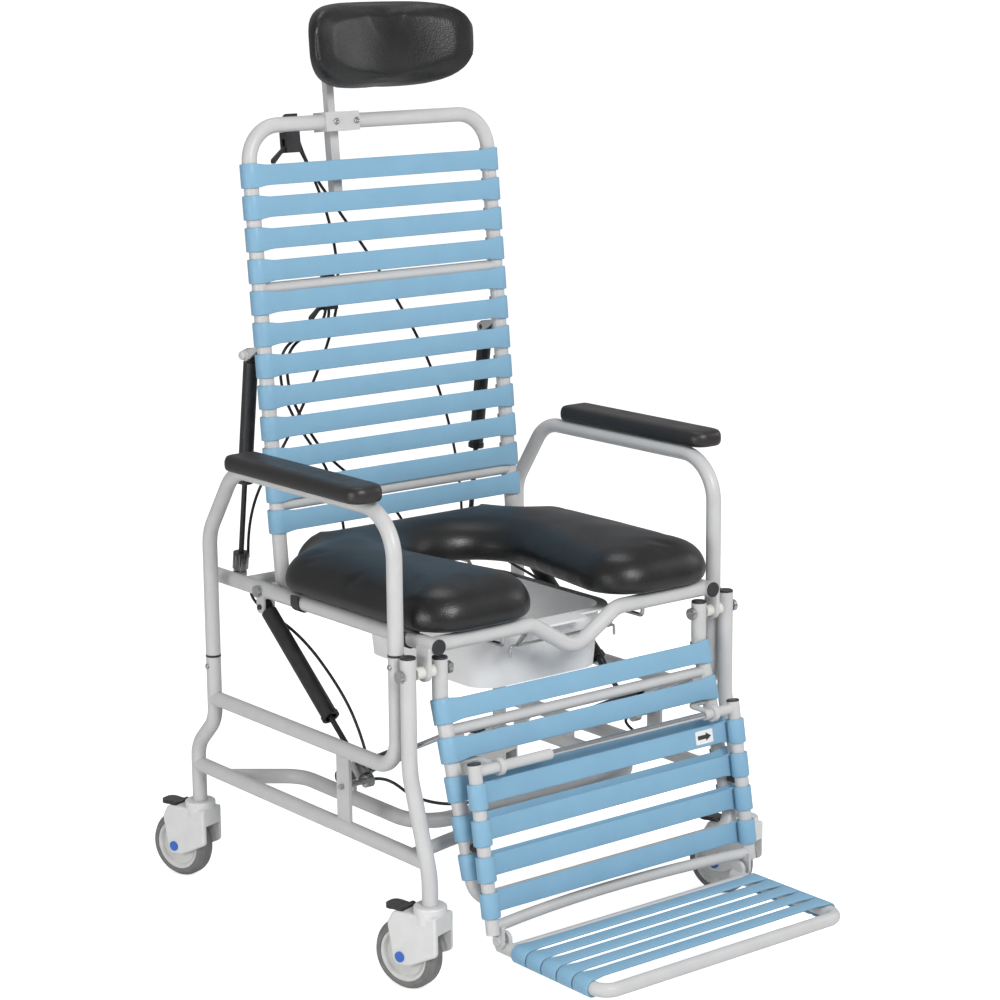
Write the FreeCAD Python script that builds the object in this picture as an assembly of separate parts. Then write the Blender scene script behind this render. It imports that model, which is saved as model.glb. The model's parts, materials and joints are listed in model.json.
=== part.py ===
import FreeCAD, Part
import math
import os

# Tilting shower commode chair on four braked casters.
# X runs across the chair, the chair faces -Y, Z is up from the floor. In the values below,
# Y is measured rearward from the front pivot line and ORIGIN_Y moves it to the part's origin.
ORIGIN_Y = 148.6

# Stock sizes
TUBE_D = 22.0
SLIM_TUBE_D = 19.0
BOLT_D = 10.0
STUD_D = 8.0
WIRE_D = 6.0
CABLE_D = 4.5
CABLE_DROP_X = 60.0
PLATE_T = 6.0
EAR_T = 3.5
RUN_GAP = 0.05
SEAT_GAP = 0.3
HEAD_D = 17.0
HEAD_T = 6.0
CAP_T = 3.0

# Base frame
LEG_X = 289.0
REAR_LEG_Y = 488.0
REAR_STEM_Y = 539.0
REAR_SOCKET_Z = 360.0
REAR_BEND_TOP_Z = 262.0
REAR_BEND_LOW_Z = 212.0
FRONT_LEG_TOP_Z = 458.0
FRONT_STEM_Y = -42.0
FRONT_BEND_TOP_Z = 300.0
FRONT_BEND_LOW_Z = 165.0
LEG_FOOT_Z = 125.0
LEG_BEND_R = 45.0
FRONT_BEND_R = 120.0
RAIL_Z = 296.0
LOW_RAIL_Z = 182.0
UPRIGHT_Y = 27.0
FRONT_SOCKET_Z = 456.0
RAIL_BEND_R = 45.0
BAR_W = 30.0
BAR_T = 5.0
U_X = 205.0
U_END_Y = 455.0
U_BEND_Y = 385.0
U_FRONT_Y = 92.0
U_BEND_R = 55.0
CROSS_BOW = 40.0
CROSS_END_Y = 0.0

# Arm sockets, arms and arm pads
SOCKET_D = 19.0
SOCKET_DEPTH = 80.0
SPIGOT_L = 70.0
RING_T = 3.0
BUTTON_D = 8.0
BUTTON_DROP = 14.0
BUTTON_PROUD = 2.0
BUTTON_L = 8.0
BUTTON_SLOT_GAP = 0.3
ARM_TOP_Z = 652.0
ARM_SLANT_LOW_Z = 548.0
ARM_SLANT_TOP_Y = 416.0
ARM_REAR_R = 62.0
ARM_FRONT_R = 65.0
PAD_OUT = 19.0
PAD_W = 58.0
PAD_FRONT_Y = 49.0
PAD_REAR_Y = 374.0
PAD_H = 24.0
PAD_FRONT_R = 24.0
PAD_REAR_R = 12.0

# Front pivot and seat
PIVOT_Z = 435.0
SEAT_X = 249.0
SEAT_Z = 470.0
SEAT_FRONT_Y = -15.0
SEAT_REAR_Y = 540.0
SEAT_CROSS_Y = 455.0
DIP_HALF_W = 78.0
DIP_DEPTH = 48.0
DIP_R = 40.0
LUG_OUT = 13.0
LUG_R = 13.0
CUSHION_H = 66.0
CUSHION_HALF_W = 269.0
CUSHION_REAR_HALF_W = 197.0
CUSHION_FRONT_Y = -26.0
CUSHION_REAR_Y = 437.0
CUSHION_SHOULDER_Y = 340.0
CUSHION_WAIST_Y = 388.0
OPENING_NECK = 46.0
OPENING_HALF_W = 98.0
OPENING_REAR_Y = 318.0
CLIP_W = 18.0
CLIP_T = 2.5
CLIP_Y = (54.0, 309.0)

# Commode pan and its wire rack
PAN_RIM_Z = 452.0
PAN_RIM_T = 3.0
PAN_DEPTH = 87.0
PAN_WALL = 3.0
PAN_HALF_W = 121.0
PAN_TAPER = 9.0
PAN_LIP = 12.0
PAN_FRONT_Y = 60.0
PAN_REAR_Y = 360.0
PAN_CORNER_R = 45.0
TONGUE_HALF_W = 50.0
TONGUE_L = 24.0
KEEPER_HALF_W = 95.0
KEEPER_Y = 25.0
KEEPER_Z = 436.0
KEEPER_DROP = 15.0
KEEPER_D = 4.0

# Back
BACK_X = 217.0
BACK_Y = 405.0
BACK_LEAN = 5.5
BACK_TOP = 669.0
BACK_FOOT = 14.0
BACK_TOP_R = 53.0
BACK_BAR_LOW = 121.0
BACK_BAR_HIGH = 435.0
STRAP_W = 35.0
STRAP_SPAN_W = 29.0
STRAP_T = 3.4
STRAP_FLARE = 24.0
CUFF_BEHIND = 205.0
BACK_STRAPS = 12
BACK_STRAP_FIRST = 97.0
BACK_STRAP_PITCH = 45.6

# Head support
POST_X = -58.0
POST_SIDE = 12.0
SLEEVE_SIDE = 15.0
SLEEVE_DOWN = 121.0
SLEEVE_UP = 15.0
POST_DOWN = 109.0
POST_UP = 131.0
CLAMP_W = 60.0
CLAMP_H = 28.0
CLAMP_T = 3.0
HEAD_PLATE_W = 130.0
HEAD_PLATE_H = 60.0
HEAD_PLATE_T = 4.0
HEAD_X = 12.0
HEAD_RISE = 112.0
HEAD_HALF_W = 145.0
HEAD_HALF_H = 63.0
HEAD_DEPTH = 46.0
HEAD_WRAP = 44.0

# Hand levers on the back
LEVER_X = -138.0
TILT_LEVER_X = -94.0
LEVER_RING_T = 4.0
LEVER_RING_W = 20.0
LEVER_BODY_W = 24.0
LEVER_BODY_H = 30.0
LEVER_BODY_T = 18.0
LEVER_L = 34.0
LEVER_DROP = 20.0
LEVER_T = 7.0

# Gas springs
BARREL_D = 22.0
SHROUD_D = 24.0
BARREL_BORE = 18.0
ROD_D = 8.0
EYE_D = 19.0
EYE_T = 12.0
HEAD_BLOCK_D = 24.0
HEAD_BLOCK_L = 42.0
RECLINE_TOP = 341.0
RECLINE_BEHIND = 36.0
RECLINE_ROOT = 350.3
RECLINE_ROOT_R = 2.9
RECLINE_FOOT_Y = 521.0
RECLINE_BARREL_L = 197.0
RECLINE_ROD_IN = 40.0
TILT_HIGH = (404.0, 446.0)
TILT_LOW = (155.0, 242.0)
TILT_BARREL_L = 209.0
TILT_ROD_IN = 40.0
STRUT_X = 219.0
STRUT_REAR = (262.0, 215.0)
STRUT_FRONT = (8.0, 338.0)
STRUT_BARREL_L = 175.0
STRUT_ROD_IN = 115.0

# Leg rest
LEGREST_X = 236.0
LEGREST_TOP_Z = 450.0
LEGREST_BEND_Z = 395.0
LEGREST_LEAN = 15.7
LEGREST_L = 280.0
LEGREST_BEND_R = 36.0
LEGREST_CORNER_R = 31.0
LEGREST_BAR_S = 47.0
LEGREST_STRAPS = 5
LEGREST_STRAP_FIRST = 19.0
LEGREST_STRAP_PITCH = 53.0

# Foot panel, its latch rod and the footplate
PANEL_Y = -73.5
PANEL_TOP_Z = 317.5
PANEL_LEAN = 9.5
PANEL_L = 231.0
PANEL_STRAPS = 4
PANEL_STRAP_FIRST = 43.0
PANEL_STRAP_PITCH = 49.3
HEEL_S = 222.0
HEEL_BOW = 30.0
HEEL_D = 16.0
LATCH_S = 10.0
LATCH_D = 10.0
LATCH_SLEEVE_D = 15.0
LATCH_SLEEVE_END_X = -106.0
LATCH_STUB_X = 178.0
LATCH_END_X = 206.0
HANGER_X = 195.0
STOP_Z = 200.5
STOP_D = 10.0
HANGER_T = 8.0
HANGER_WALL = 4.0
FOOT_X = 215.0
FOOT_Z = 66.0
FOOT_HINGE_Z = 78.4
FOOT_FRONT_Y = -316.0
FOOT_CORNER_R = 22.0
FOOT_CROSS_Y = -124.0
FOOT_STRAPS = 5
FOOT_STRAP_FIRST_Y = -152.5
FOOT_STRAP_PITCH = 32.0
FOOT_STRAP_W = 29.0
FOOT_STRAP_SPAN_W = 22.0
TAB_T = 4.0
TAB_R = 11.0

# Casters
WHEEL_D = 100.0
TYRE_W = 32.0
RIM_D = 76.0
TRAIL = 36.0
CASTER_TURN = 18.0
CASTER_W = 46.0
CASTER_SLOT_W = 35.0
CASTER_CLEAR = 3.0
STEM_D = 12.0
STEM_L = 30.0
AXLE_D = 10.0
HUB_CAP_D = 15.0
PEDAL_Z = 111.0
PEDAL_AXIS = 40.0
PEDAL_TIP = 69.0
PEDAL_W = 26.0
PEDAL_T = 6.0

# Worked out from the sizes above
TUBE_R = TUBE_D / 2
SLIM_R = SLIM_TUBE_D / 2
STRAP_IN = TUBE_R + SEAT_GAP
ARM_REAR_Z = REAR_SOCKET_Z + RING_T + SEAT_GAP
ARM_FRONT_Z = FRONT_SOCKET_Z + RING_T + SEAT_GAP
PAD_Z = ARM_TOP_Z + TUBE_R + SEAT_GAP
LUG_X = SEAT_X + LUG_OUT
CUSHION_Z = SEAT_Z + TUBE_R + SEAT_GAP
RUNNER_X = PAN_HALF_W + PAN_LIP / 2
RUNNER_Z = PAN_RIM_Z - SEAT_GAP - WIRE_D / 2
SLEEVE_LOW = BACK_TOP - SLEEVE_DOWN
SLEEVE_HIGH = BACK_TOP + SLEEVE_UP
POST_LOW = BACK_TOP - POST_DOWN
POST_HIGH = BACK_TOP + POST_UP
HEAD_MID = BACK_TOP + HEAD_RISE
SLEEVE_Y = TUBE_R + SLEEVE_SIDE / 2 + SEAT_GAP
PANEL_BOTTOM_Z = PANEL_TOP_Z - PANEL_L * math.cos(math.radians(PANEL_LEAN))
PANEL_BOTTOM_Y = PANEL_Y - PANEL_L * math.sin(math.radians(PANEL_LEAN))
LATCH_Y = PANEL_Y - LATCH_S * math.sin(math.radians(PANEL_LEAN))
LATCH_Z = PANEL_TOP_Z - LATCH_S * math.cos(math.radians(PANEL_LEAN))
ACROSS = FreeCAD.Vector(1, 0, 0)
UP = FreeCAD.Vector(0, 0, 1)


def at(x, y, z):
    """A point whose y is counted rearward from the front pivot line."""
    return FreeCAD.Vector(x, y - ORIGIN_Y, z)


def corner_arc(before, corner, after, radius):
    """The tangent arc that rounds one corner, with its two ends."""
    back = (before - corner).normalize()
    ahead = (after - corner).normalize()
    half = back.getAngle(ahead) / 2
    middle = (back + ahead).normalize()
    start = corner + back * (radius / math.tan(half))
    end = corner + ahead * (radius / math.tan(half))
    top = corner + middle * (radius / math.sin(half) - radius)
    return start, end, Part.Arc(start, top, end).toShape()


def bent_wire(points, radii):
    """Straight runs through the points, joined by tangent arcs."""
    edges = []
    last = points[0]
    for i, radius in enumerate(radii, start=1):
        start, end, arc = corner_arc(points[i - 1], points[i], points[i + 1], radius)
        edges.append(Part.LineSegment(last, start).toShape())
        edges.append(arc)
        last = end
    edges.append(Part.LineSegment(last, points[-1]).toShape())
    return Part.Wire(edges)


def tube(points, radii, diameter):
    """A round bar bent along the points."""
    path = bent_wire(points, radii)
    section = Part.Wire(Part.makeCircle(diameter / 2, points[0], points[1] - points[0]))
    return path.makePipeShell([section], True, False)


def rod(start, end, diameter):
    """A straight round bar."""
    return Part.makeCylinder(diameter / 2, (end - start).Length, start, end - start)


def x_pin(x1, x2, y, z, diameter):
    """A round bar that runs across the chair."""
    return rod(at(x1, y, z), at(x2, y, z), diameter)


def block(x1, x2, y1, y2, z1, z2):
    """A box between two corners."""
    return Part.makeBox(x2 - x1, y2 - y1, z2 - z1, at(x1, y1, z1))


def rounded_outline(corners, radii):
    """A closed wire through the corners, each one rounded."""
    count = len(corners)
    arcs = []
    for i, radius in enumerate(radii):
        arcs.append(corner_arc(corners[i - 1], corners[i], corners[(i + 1) % count], radius))
    edges = []
    for i, (start, end, arc) in enumerate(arcs):
        edges.append(arc)
        edges.append(Part.LineSegment(end, arcs[(i + 1) % count][0]).toShape())
    return Part.Wire(edges)


def side_plate(corners, radii, x, thickness):
    """A flat plate square to X, from (y, z) corners, centred on x."""
    points = [at(x - thickness / 2, y, z) for y, z in corners]
    return Part.Face(rounded_outline(points, radii)).extrude(ACROSS * thickness)


def turned_side(previous, corner, following):
    """Twice the signed area at a corner: above zero where an outline bulges out."""
    ax, ay = corner[0] - previous[0], corner[1] - previous[1]
    bx, by = following[0] - corner[0], following[1] - corner[1]
    return ax * by - ay * bx


def inset_outline(corners, radii, inset):
    """The corners and radii of an outline drawn in by one distance on every side."""
    count = len(corners)
    moved = []
    rounds = []
    for i, (x, y) in enumerate(corners):
        before = corners[i - 1]
        after = corners[(i + 1) % count]
        first = math.atan2(y - before[1], x - before[0]) + math.pi / 2
        second = math.atan2(after[1] - y, after[0] - x) + math.pi / 2
        share = inset / (1 + math.cos(first - second))
        moved.append((x + share * (math.cos(first) + math.cos(second)),
                      y + share * (math.sin(first) + math.sin(second))))
        outward = turned_side(before, (x, y), after) > 0
        rounds.append(max(radii[i] - inset, 2.0) if outward else radii[i] + inset)
    return moved, rounds


def soft_form(corners, radii, levels):
    """A crowned pad: its plan outline, drawn in by each level's inset at that height."""
    wires = []
    for height, inset in levels:
        moved, rounds = inset_outline(corners, radii, inset)
        wires.append(rounded_outline([at(x, y, height) for x, y in moved], rounds))
    return Part.makeLoft(wires, True, True)


def mirrored(shape):
    """The same piece on the other side of the chair."""
    return shape.mirror(FreeCAD.Vector(0, 0, 0), ACROSS)


def both(shape):
    """A piece and its twin."""
    return [shape, mirrored(shape)]


def leaned(shape, y, z, degrees):
    """A piece drawn upright, leaned so that its top goes back and its bottom forward."""
    turned = shape.copy()
    turned.rotate(at(0, y, z), ACROSS, -degrees)
    return turned


def end_cap(start, direction, diameter):
    """A plug with a rounded edge that closes a tube's end."""
    cap = Part.makeCylinder(diameter / 2, CAP_T, start, direction)
    outer = start + direction * CAP_T
    rims = [e for e in cap.Edges if e.isClosed() and (e.CenterOfMass - outer).Length < 0.1]
    return cap.makeFillet(CAP_T / 2, rims)


def bolt(x_head, x_nut, y, z, diameter):
    """A cross bolt: head outside x_head, nut inside x_nut, toward the chair's middle."""
    outward = 1 if x_head > x_nut else -1
    shank = x_pin(x_head, x_nut, y, z, diameter)
    head = x_pin(x_head, x_head + outward * HEAD_T, y, z, HEAD_D)
    nut = x_pin(x_nut - outward * HEAD_T, x_nut, y, z, HEAD_D)
    return shank.fuse([head, nut])


def hole(x1, x2, y, z, diameter):
    """The running hole for a bolt or stud of that diameter."""
    return x_pin(x1, x2, y, z, diameter + 2 * RUN_GAP)


def strap(half_x, inner, width, span_width, middle):
    """A vinyl band on two upright tubes: a cuff turned round each one, and a span across their fronts."""
    outer = inner + STRAP_T
    low = middle - width / 2

    def ring_point(radius, degrees):
        turn = math.radians(degrees)
        return at(-half_x - radius * math.sin(turn), -radius * math.cos(turn), low)

    turns = (0, CUFF_BEHIND / 2, CUFF_BEHIND)
    edges = [Part.Arc(*[ring_point(outer, turn) for turn in turns]).toShape(),
             Part.LineSegment(ring_point(outer, CUFF_BEHIND), ring_point(inner, CUFF_BEHIND)).toShape(),
             Part.Arc(*[ring_point(inner, turn) for turn in turns[::-1]]).toShape(),
             Part.LineSegment(ring_point(inner, 0), ring_point(outer, 0)).toShape()]
    cuff = Part.Face(Part.Wire(edges)).extrude(UP * width)
    end = half_x - RUN_GAP
    waist = end - STRAP_FLARE
    half = [(-end, width / 2), (-waist, span_width / 2), (waist, span_width / 2), (end, width / 2)]
    corners = [at(x, -inner, middle + rise) for x, rise in half]
    corners += [at(x, -inner, middle - rise) for x, rise in half[::-1]]
    span = Part.Face(Part.makePolygon(corners + corners[:1])).extrude(FreeCAD.Vector(0, -STRAP_T, 0))
    return both(cuff) + [span]


def placed(bands, place):
    """Every solid of every band, put in place by a function."""
    return [place(piece) for band in bands for piece in band]


def moved(shape, y, z):
    """A copy shifted rearward by y and up by z."""
    shifted = shape.copy()
    shifted.translate(FreeCAD.Vector(0, y, z))
    return shifted


def save(name, *shapes):
    """One node of the chair, from one or more solids."""
    shape = shapes[0] if len(shapes) == 1 else Part.makeCompound(list(shapes))
    shape.exportStep("parts/" + name + ".step")


def front_leg_y(z):
    """Where the front leg's slanted run stands at a height."""
    share = (FRONT_BEND_TOP_Z - z) / (FRONT_BEND_TOP_Z - FRONT_BEND_LOW_Z)
    return FRONT_STEM_Y * share


def side_frame(side):
    """One side of the base: two legs, the J-shaped upper rail, the lower rail and a bar."""
    x = side * LEG_X
    near, far = sorted((x, x + side * TUBE_D))
    rear_leg = tube([at(x, REAR_LEG_Y, REAR_SOCKET_Z), at(x, REAR_LEG_Y, REAR_BEND_TOP_Z),
                     at(x, REAR_STEM_Y, REAR_BEND_LOW_Z), at(x, REAR_STEM_Y, LEG_FOOT_Z)],
                    [LEG_BEND_R, LEG_BEND_R], TUBE_D)
    front_leg = tube([at(x, 0, FRONT_LEG_TOP_Z), at(x, 0, FRONT_BEND_TOP_Z),
                      at(x, FRONT_STEM_Y, FRONT_BEND_LOW_Z), at(x, FRONT_STEM_Y, LEG_FOOT_Z)],
                     [FRONT_BEND_R, FRONT_BEND_R], TUBE_D)
    upper_rail = tube([at(x, REAR_LEG_Y, RAIL_Z), at(x, UPRIGHT_Y, RAIL_Z),
                       at(x, UPRIGHT_Y, FRONT_SOCKET_Z)], [RAIL_BEND_R], TUBE_D)
    lower_rail = rod(at(x, REAR_STEM_Y, LOW_RAIL_Z), at(x, front_leg_y(LOW_RAIL_Z), LOW_RAIL_Z), TUBE_D)
    bar = block(x - BAR_T / 2, x + BAR_T / 2, TILT_LOW[0] - BAR_W / 2, TILT_LOW[0] + BAR_W / 2,
                LOW_RAIL_Z, RAIL_Z)
    frame = rear_leg.fuse([front_leg, upper_rail, lower_rail, bar])
    cuts = [hole(x - TUBE_D, x + TUBE_D, 0, PIVOT_Z, BOLT_D),
            hole(x - TUBE_D, x + TUBE_D, *TILT_LOW, STUD_D)]
    for y, z in ((REAR_LEG_Y, REAR_SOCKET_Z), (UPRIGHT_Y, FRONT_SOCKET_Z)):
        cuts.append(rod(at(x, y, z - SOCKET_DEPTH), at(x, y, z + CAP_T), SOCKET_D))
        cuts.append(hole(near, far, y, z - BUTTON_DROP, BUTTON_D))
    for y in (REAR_STEM_Y, FRONT_STEM_Y):
        cuts.append(rod(at(x, y, LEG_FOOT_Z - CAP_T), at(x, y, LEG_FOOT_Z + STEM_L + CAP_T),
                        STEM_D + 2 * RUN_GAP))
    return frame.cut(cuts)


def base_cross_tubes(frames):
    """The U-shaped tube with its strut lugs, and the bowed front cross tube."""
    left = [at(-LEG_X, U_END_Y, LOW_RAIL_Z), at(-U_X, U_BEND_Y, LOW_RAIL_Z), at(-U_X, U_FRONT_Y, LOW_RAIL_Z)]
    right = [at(LEG_X, U_END_Y, LOW_RAIL_Z), at(U_X, U_BEND_Y, LOW_RAIL_Z), at(U_X, U_FRONT_Y, LOW_RAIL_Z)]
    u_tube = tube(left + right[::-1], [U_BEND_R] * 4, TUBE_D)
    y, z = STRUT_REAR
    lug = side_plate([(y - LUG_R, LOW_RAIL_Z), (y + LUG_R, LOW_RAIL_Z), (y + LUG_R, z + LUG_R),
                      (y - LUG_R, z + LUG_R)], [1.0, 1.0, LUG_R - 1, LUG_R - 1], -U_X, PLATE_T)
    lug = lug.cut(hole(-U_X - PLATE_T, -U_X + PLATE_T, y, z, STUD_D))
    u_tube = u_tube.fuse(both(lug)).cut(frames)
    bow = Part.Arc(at(-LEG_X, CROSS_END_Y, LOW_RAIL_Z), at(0, CROSS_END_Y + CROSS_BOW, LOW_RAIL_Z),
                   at(LEG_X, CROSS_END_Y, LOW_RAIL_Z)).toShape()
    path = Part.Wire(bow)
    section = Part.Wire(Part.makeCircle(SLIM_R, bow.valueAt(bow.FirstParameter),
                                        bow.tangentAt(bow.FirstParameter)))
    cross = path.makePipeShell([section], True, False).cut(frames)
    return [max(u_tube.Solids, key=lambda s: s.Volume), max(cross.Solids, key=lambda s: s.Volume)]


def frame_trim():
    """Black plugs in the front legs and a ring on each arm socket."""
    pieces = both(end_cap(at(-LEG_X, 0, FRONT_LEG_TOP_Z), UP, TUBE_D))
    for y, z in ((REAR_LEG_Y, REAR_SOCKET_Z), (UPRIGHT_Y, FRONT_SOCKET_Z)):
        ring = rod(at(-LEG_X, y, z), at(-LEG_X, y, z + RING_T), TUBE_D + 1)
        pieces += both(ring.cut(rod(at(-LEG_X, y, z), at(-LEG_X, y, z + RING_T), SOCKET_D)))
    return pieces


def arm():
    """The left arm: one bent tube with two spigots that drop into the sockets."""
    x = -LEG_X
    frame = tube([at(x, REAR_LEG_Y, ARM_REAR_Z), at(x, REAR_LEG_Y, ARM_SLANT_LOW_Z),
                  at(x, ARM_SLANT_TOP_Y, ARM_TOP_Z), at(x, UPRIGHT_Y, ARM_TOP_Z),
                  at(x, UPRIGHT_Y, ARM_FRONT_Z)], [ARM_REAR_R, ARM_REAR_R, ARM_FRONT_R], TUBE_D)
    for y, z, socket in ((REAR_LEG_Y, ARM_REAR_Z, REAR_SOCKET_Z), (UPRIGHT_Y, ARM_FRONT_Z, FRONT_SOCKET_Z)):
        spigot = rod(at(x, y, z - SPIGOT_L), at(x, y, z), SOCKET_D - 2 * RUN_GAP)
        half = BUTTON_D / 2 + BUTTON_SLOT_GAP
        slot = block(x - TUBE_D, x, y - half, y + half, z - SPIGOT_L, socket - BUTTON_DROP + half)
        frame = frame.fuse(spigot.cut(slot))
    return frame


def arm_buttons():
    """The two snap buttons of the left arm's sockets."""
    pieces = []
    for y, z in ((REAR_LEG_Y, REAR_SOCKET_Z), (UPRIGHT_Y, FRONT_SOCKET_Z)):
        outer = at(-LEG_X - TUBE_R - BUTTON_PROUD, y, z - BUTTON_DROP)
        button = rod(outer, outer + ACROSS * BUTTON_L, BUTTON_D)
        rims = [e for e in button.Edges if e.isClosed() and (e.CenterOfMass - outer).Length < 0.1]
        pieces.append(button.makeFillet(BUTTON_PROUD / 2, rims))
    return pieces


def arm_pad():
    """The left arm pad, set outward of its tube, with a softened top."""
    x1 = -LEG_X - PAD_OUT - PAD_W / 2
    x2 = -LEG_X - PAD_OUT + PAD_W / 2
    corners = [(x2, PAD_REAR_Y), (x1, PAD_REAR_Y), (x1, PAD_FRONT_Y), (x2, PAD_FRONT_Y)]
    radii = [PAD_REAR_R, PAD_REAR_R, PAD_FRONT_R, PAD_FRONT_R]
    shares = [(0.0, 3.0), (0.2, 0.0), (0.66, 0.0), (0.9, 3.0), (1.0, 9.0)]
    return soft_form(corners, radii, [(PAD_Z + share * PAD_H, inset) for share, inset in shares])


def pivot_lug():
    """The left lug that hangs the seat rail on the front pivot bolt."""
    corners = [(-LUG_R, PIVOT_Z - LUG_R), (LUG_R, PIVOT_Z - LUG_R), (LUG_R, SEAT_Z), (-LUG_R, SEAT_Z)]
    lug = side_plate(corners, [LUG_R - 1, LUG_R - 1, 1.0, 1.0], -LUG_X, PLATE_T)
    return lug.cut(hole(-LUG_X - PLATE_T, -LUG_X + PLATE_T, 0, PIVOT_Z, BOLT_D))


def ears(x, pivot, root, root_r, eye_t):
    """Two small plates that hold a gas spring's eye, tapering from the pivot (y, z) to a root (y, z)."""
    r = EYE_D / 2
    along = FreeCAD.Vector(0, root[0] - pivot[0], root[1] - pivot[1])
    turn = math.degrees(math.atan2(along.z, along.y))
    plates = []
    for side in (-1, 1):
        middle = x + side * (eye_t / 2 + SEAT_GAP + EAR_T / 2)
        corners = [(pivot[0] - r, pivot[1] - r), (pivot[0] + along.Length, pivot[1] - root_r),
                   (pivot[0] + along.Length, pivot[1] + root_r), (pivot[0] - r, pivot[1] + r)]
        plate = side_plate(corners, [r - 2, 1.0, 1.0, r - 2], middle, EAR_T)
        plate = plate.cut(hole(middle - EAR_T, middle + EAR_T, *pivot, STUD_D))
        plate.rotate(at(0, *pivot), ACROSS, turn)
        plates.append(plate)
    return plates


def seat_frame():
    """Two seat rails, the dipped front tube, the rear tube, and the lugs below."""
    rail = rod(at(-SEAT_X, SEAT_FRONT_Y, SEAT_Z), at(-SEAT_X, SEAT_REAR_Y, SEAT_Z), TUBE_D)
    dip = [at(-DIP_HALF_W, 0, SEAT_Z), at(0, 0, SEAT_Z - DIP_DEPTH), at(DIP_HALF_W, 0, SEAT_Z)]
    front = tube([at(-SEAT_X, 0, SEAT_Z)] + dip + [at(SEAT_X, 0, SEAT_Z)], [DIP_R] * 3, TUBE_D)
    rear = rod(at(-SEAT_X, SEAT_CROSS_Y, SEAT_Z), at(SEAT_X, SEAT_CROSS_Y, SEAT_Z), TUBE_D)
    lugs = [pivot_lug()] + ears(-SEAT_X, TILT_HIGH, (TILT_HIGH[0], SEAT_Z), EYE_D / 2, EYE_T)
    frame = front.fuse([rear] + both(rail) + lugs + [mirrored(lug) for lug in lugs])
    cuts = []
    for side in (-1, 1):
        near, far = sorted((side * (SEAT_X - TUBE_D), side * (SEAT_X + TUBE_D)))
        cuts.append(hole(near, far, BACK_Y, SEAT_Z, BOLT_D))
        cuts.append(hole(near, far, RECLINE_FOOT_Y, SEAT_Z, STUD_D))
    eye_room = x_pin(-SEAT_X - EYE_T / 2 - SEAT_GAP, -SEAT_X + EYE_T / 2 + SEAT_GAP, *TILT_HIGH,
                     SHROUD_D + 2 * SEAT_GAP)
    return frame.cut(cuts + both(eye_room))


def seat_end_caps():
    """Black plugs in both ends of the seat rails."""
    front = end_cap(at(-SEAT_X, SEAT_FRONT_Y, SEAT_Z), FreeCAD.Vector(0, -1, 0), TUBE_D)
    rear = end_cap(at(-SEAT_X, SEAT_REAR_Y, SEAT_Z), FreeCAD.Vector(0, 1, 0), TUBE_D)
    return both(front) + both(rear)


def seat_cushion():
    """The horseshoe seat, open to the front, crowned with drawn-in sides."""
    half = [(CUSHION_REAR_HALF_W, CUSHION_REAR_Y, 50.0), (CUSHION_REAR_HALF_W, CUSHION_WAIST_Y, 40.0),
            (CUSHION_HALF_W, CUSHION_SHOULDER_Y, 60.0), (CUSHION_HALF_W, CUSHION_FRONT_Y, 70.0),
            (OPENING_NECK, CUSHION_FRONT_Y, 72.0), (OPENING_HALF_W, OPENING_REAR_Y, 84.0)]
    left = [(-x, y, r) for x, y, r in half]
    loop = left + half[::-1]
    corners = [(x, y) for x, y, r in loop]
    radii = [r for x, y, r in loop]
    shares = [(0.0, 8.0), (0.13, 1.0), (0.34, 0.0), (0.58, 5.0), (0.78, 16.0), (0.93, 33.0), (1.0, 48.0)]
    return soft_form(corners, radii, [(CUSHION_Z + share * CUSHION_H, inset) for share, inset in shares])


def cushion_clip(y):
    """A black clip that hooks the cushion's base under the left rail."""
    outer = TUBE_R + SEAT_GAP + CLIP_T
    top = SEAT_Z + TUBE_R
    y1 = y - CLIP_W / 2
    y2 = y + CLIP_W / 2
    hook = rod(at(-SEAT_X, y1, SEAT_Z), at(-SEAT_X, y2, SEAT_Z), 2 * outer)
    hook = hook.fuse(block(-SEAT_X - outer, -SEAT_X + outer, y1, y2, SEAT_Z, top))
    hollow = rod(at(-SEAT_X, y1, SEAT_Z), at(-SEAT_X, y2, SEAT_Z), TUBE_D + 2 * SEAT_GAP)
    inner = TUBE_R + SEAT_GAP
    slot = block(-SEAT_X - inner, -SEAT_X + inner, y1, y2, SEAT_Z, top + CLIP_T)
    return hook.cut([hollow, slot]).common(block(-SEAT_X - outer, -SEAT_X + outer, y1, y2,
                                                 SEAT_Z - outer, top))


def pan_rack(frame):
    """Wire runners under the pan's rim, and the keeper wire behind the front tube."""
    x = -RUNNER_X
    aside = -RUNNER_X - WIRE_D - PAN_LIP
    runner = tube([at(x, 0, SEAT_Z - TUBE_R + 1), at(x, 0, RUNNER_Z), at(x, SEAT_CROSS_Y - 55, RUNNER_Z),
                   at(aside, SEAT_CROSS_Y - 25, RUNNER_Z), at(aside, SEAT_CROSS_Y, RUNNER_Z),
                   at(aside, SEAT_CROSS_Y, SEAT_Z - TUBE_R + 1)],
                  [WIRE_D, 2 * WIRE_D, 2 * WIRE_D, WIRE_D], WIRE_D)
    runners = [piece.cut(frame) for piece in both(runner)]
    end = KEEPER_HALF_W
    keeper = tube([at(-end, KEEPER_Y, KEEPER_Z - KEEPER_DROP), at(-end, KEEPER_Y, KEEPER_Z),
                   at(end, KEEPER_Y, KEEPER_Z), at(end, KEEPER_Y, KEEPER_Z - KEEPER_DROP)],
                  [KEEPER_D, KEEPER_D], KEEPER_D)
    stem_x = -DIP_HALF_W - KEEPER_D
    stem = rod(at(stem_x, KEEPER_Y, KEEPER_Z), at(stem_x, 0, SEAT_Z - TUBE_R / 2), WIRE_D)
    keeper = keeper.fuse(both(stem)).cut(frame)
    return runners + [max(keeper.Solids, key=lambda s: s.Volume)]


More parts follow.
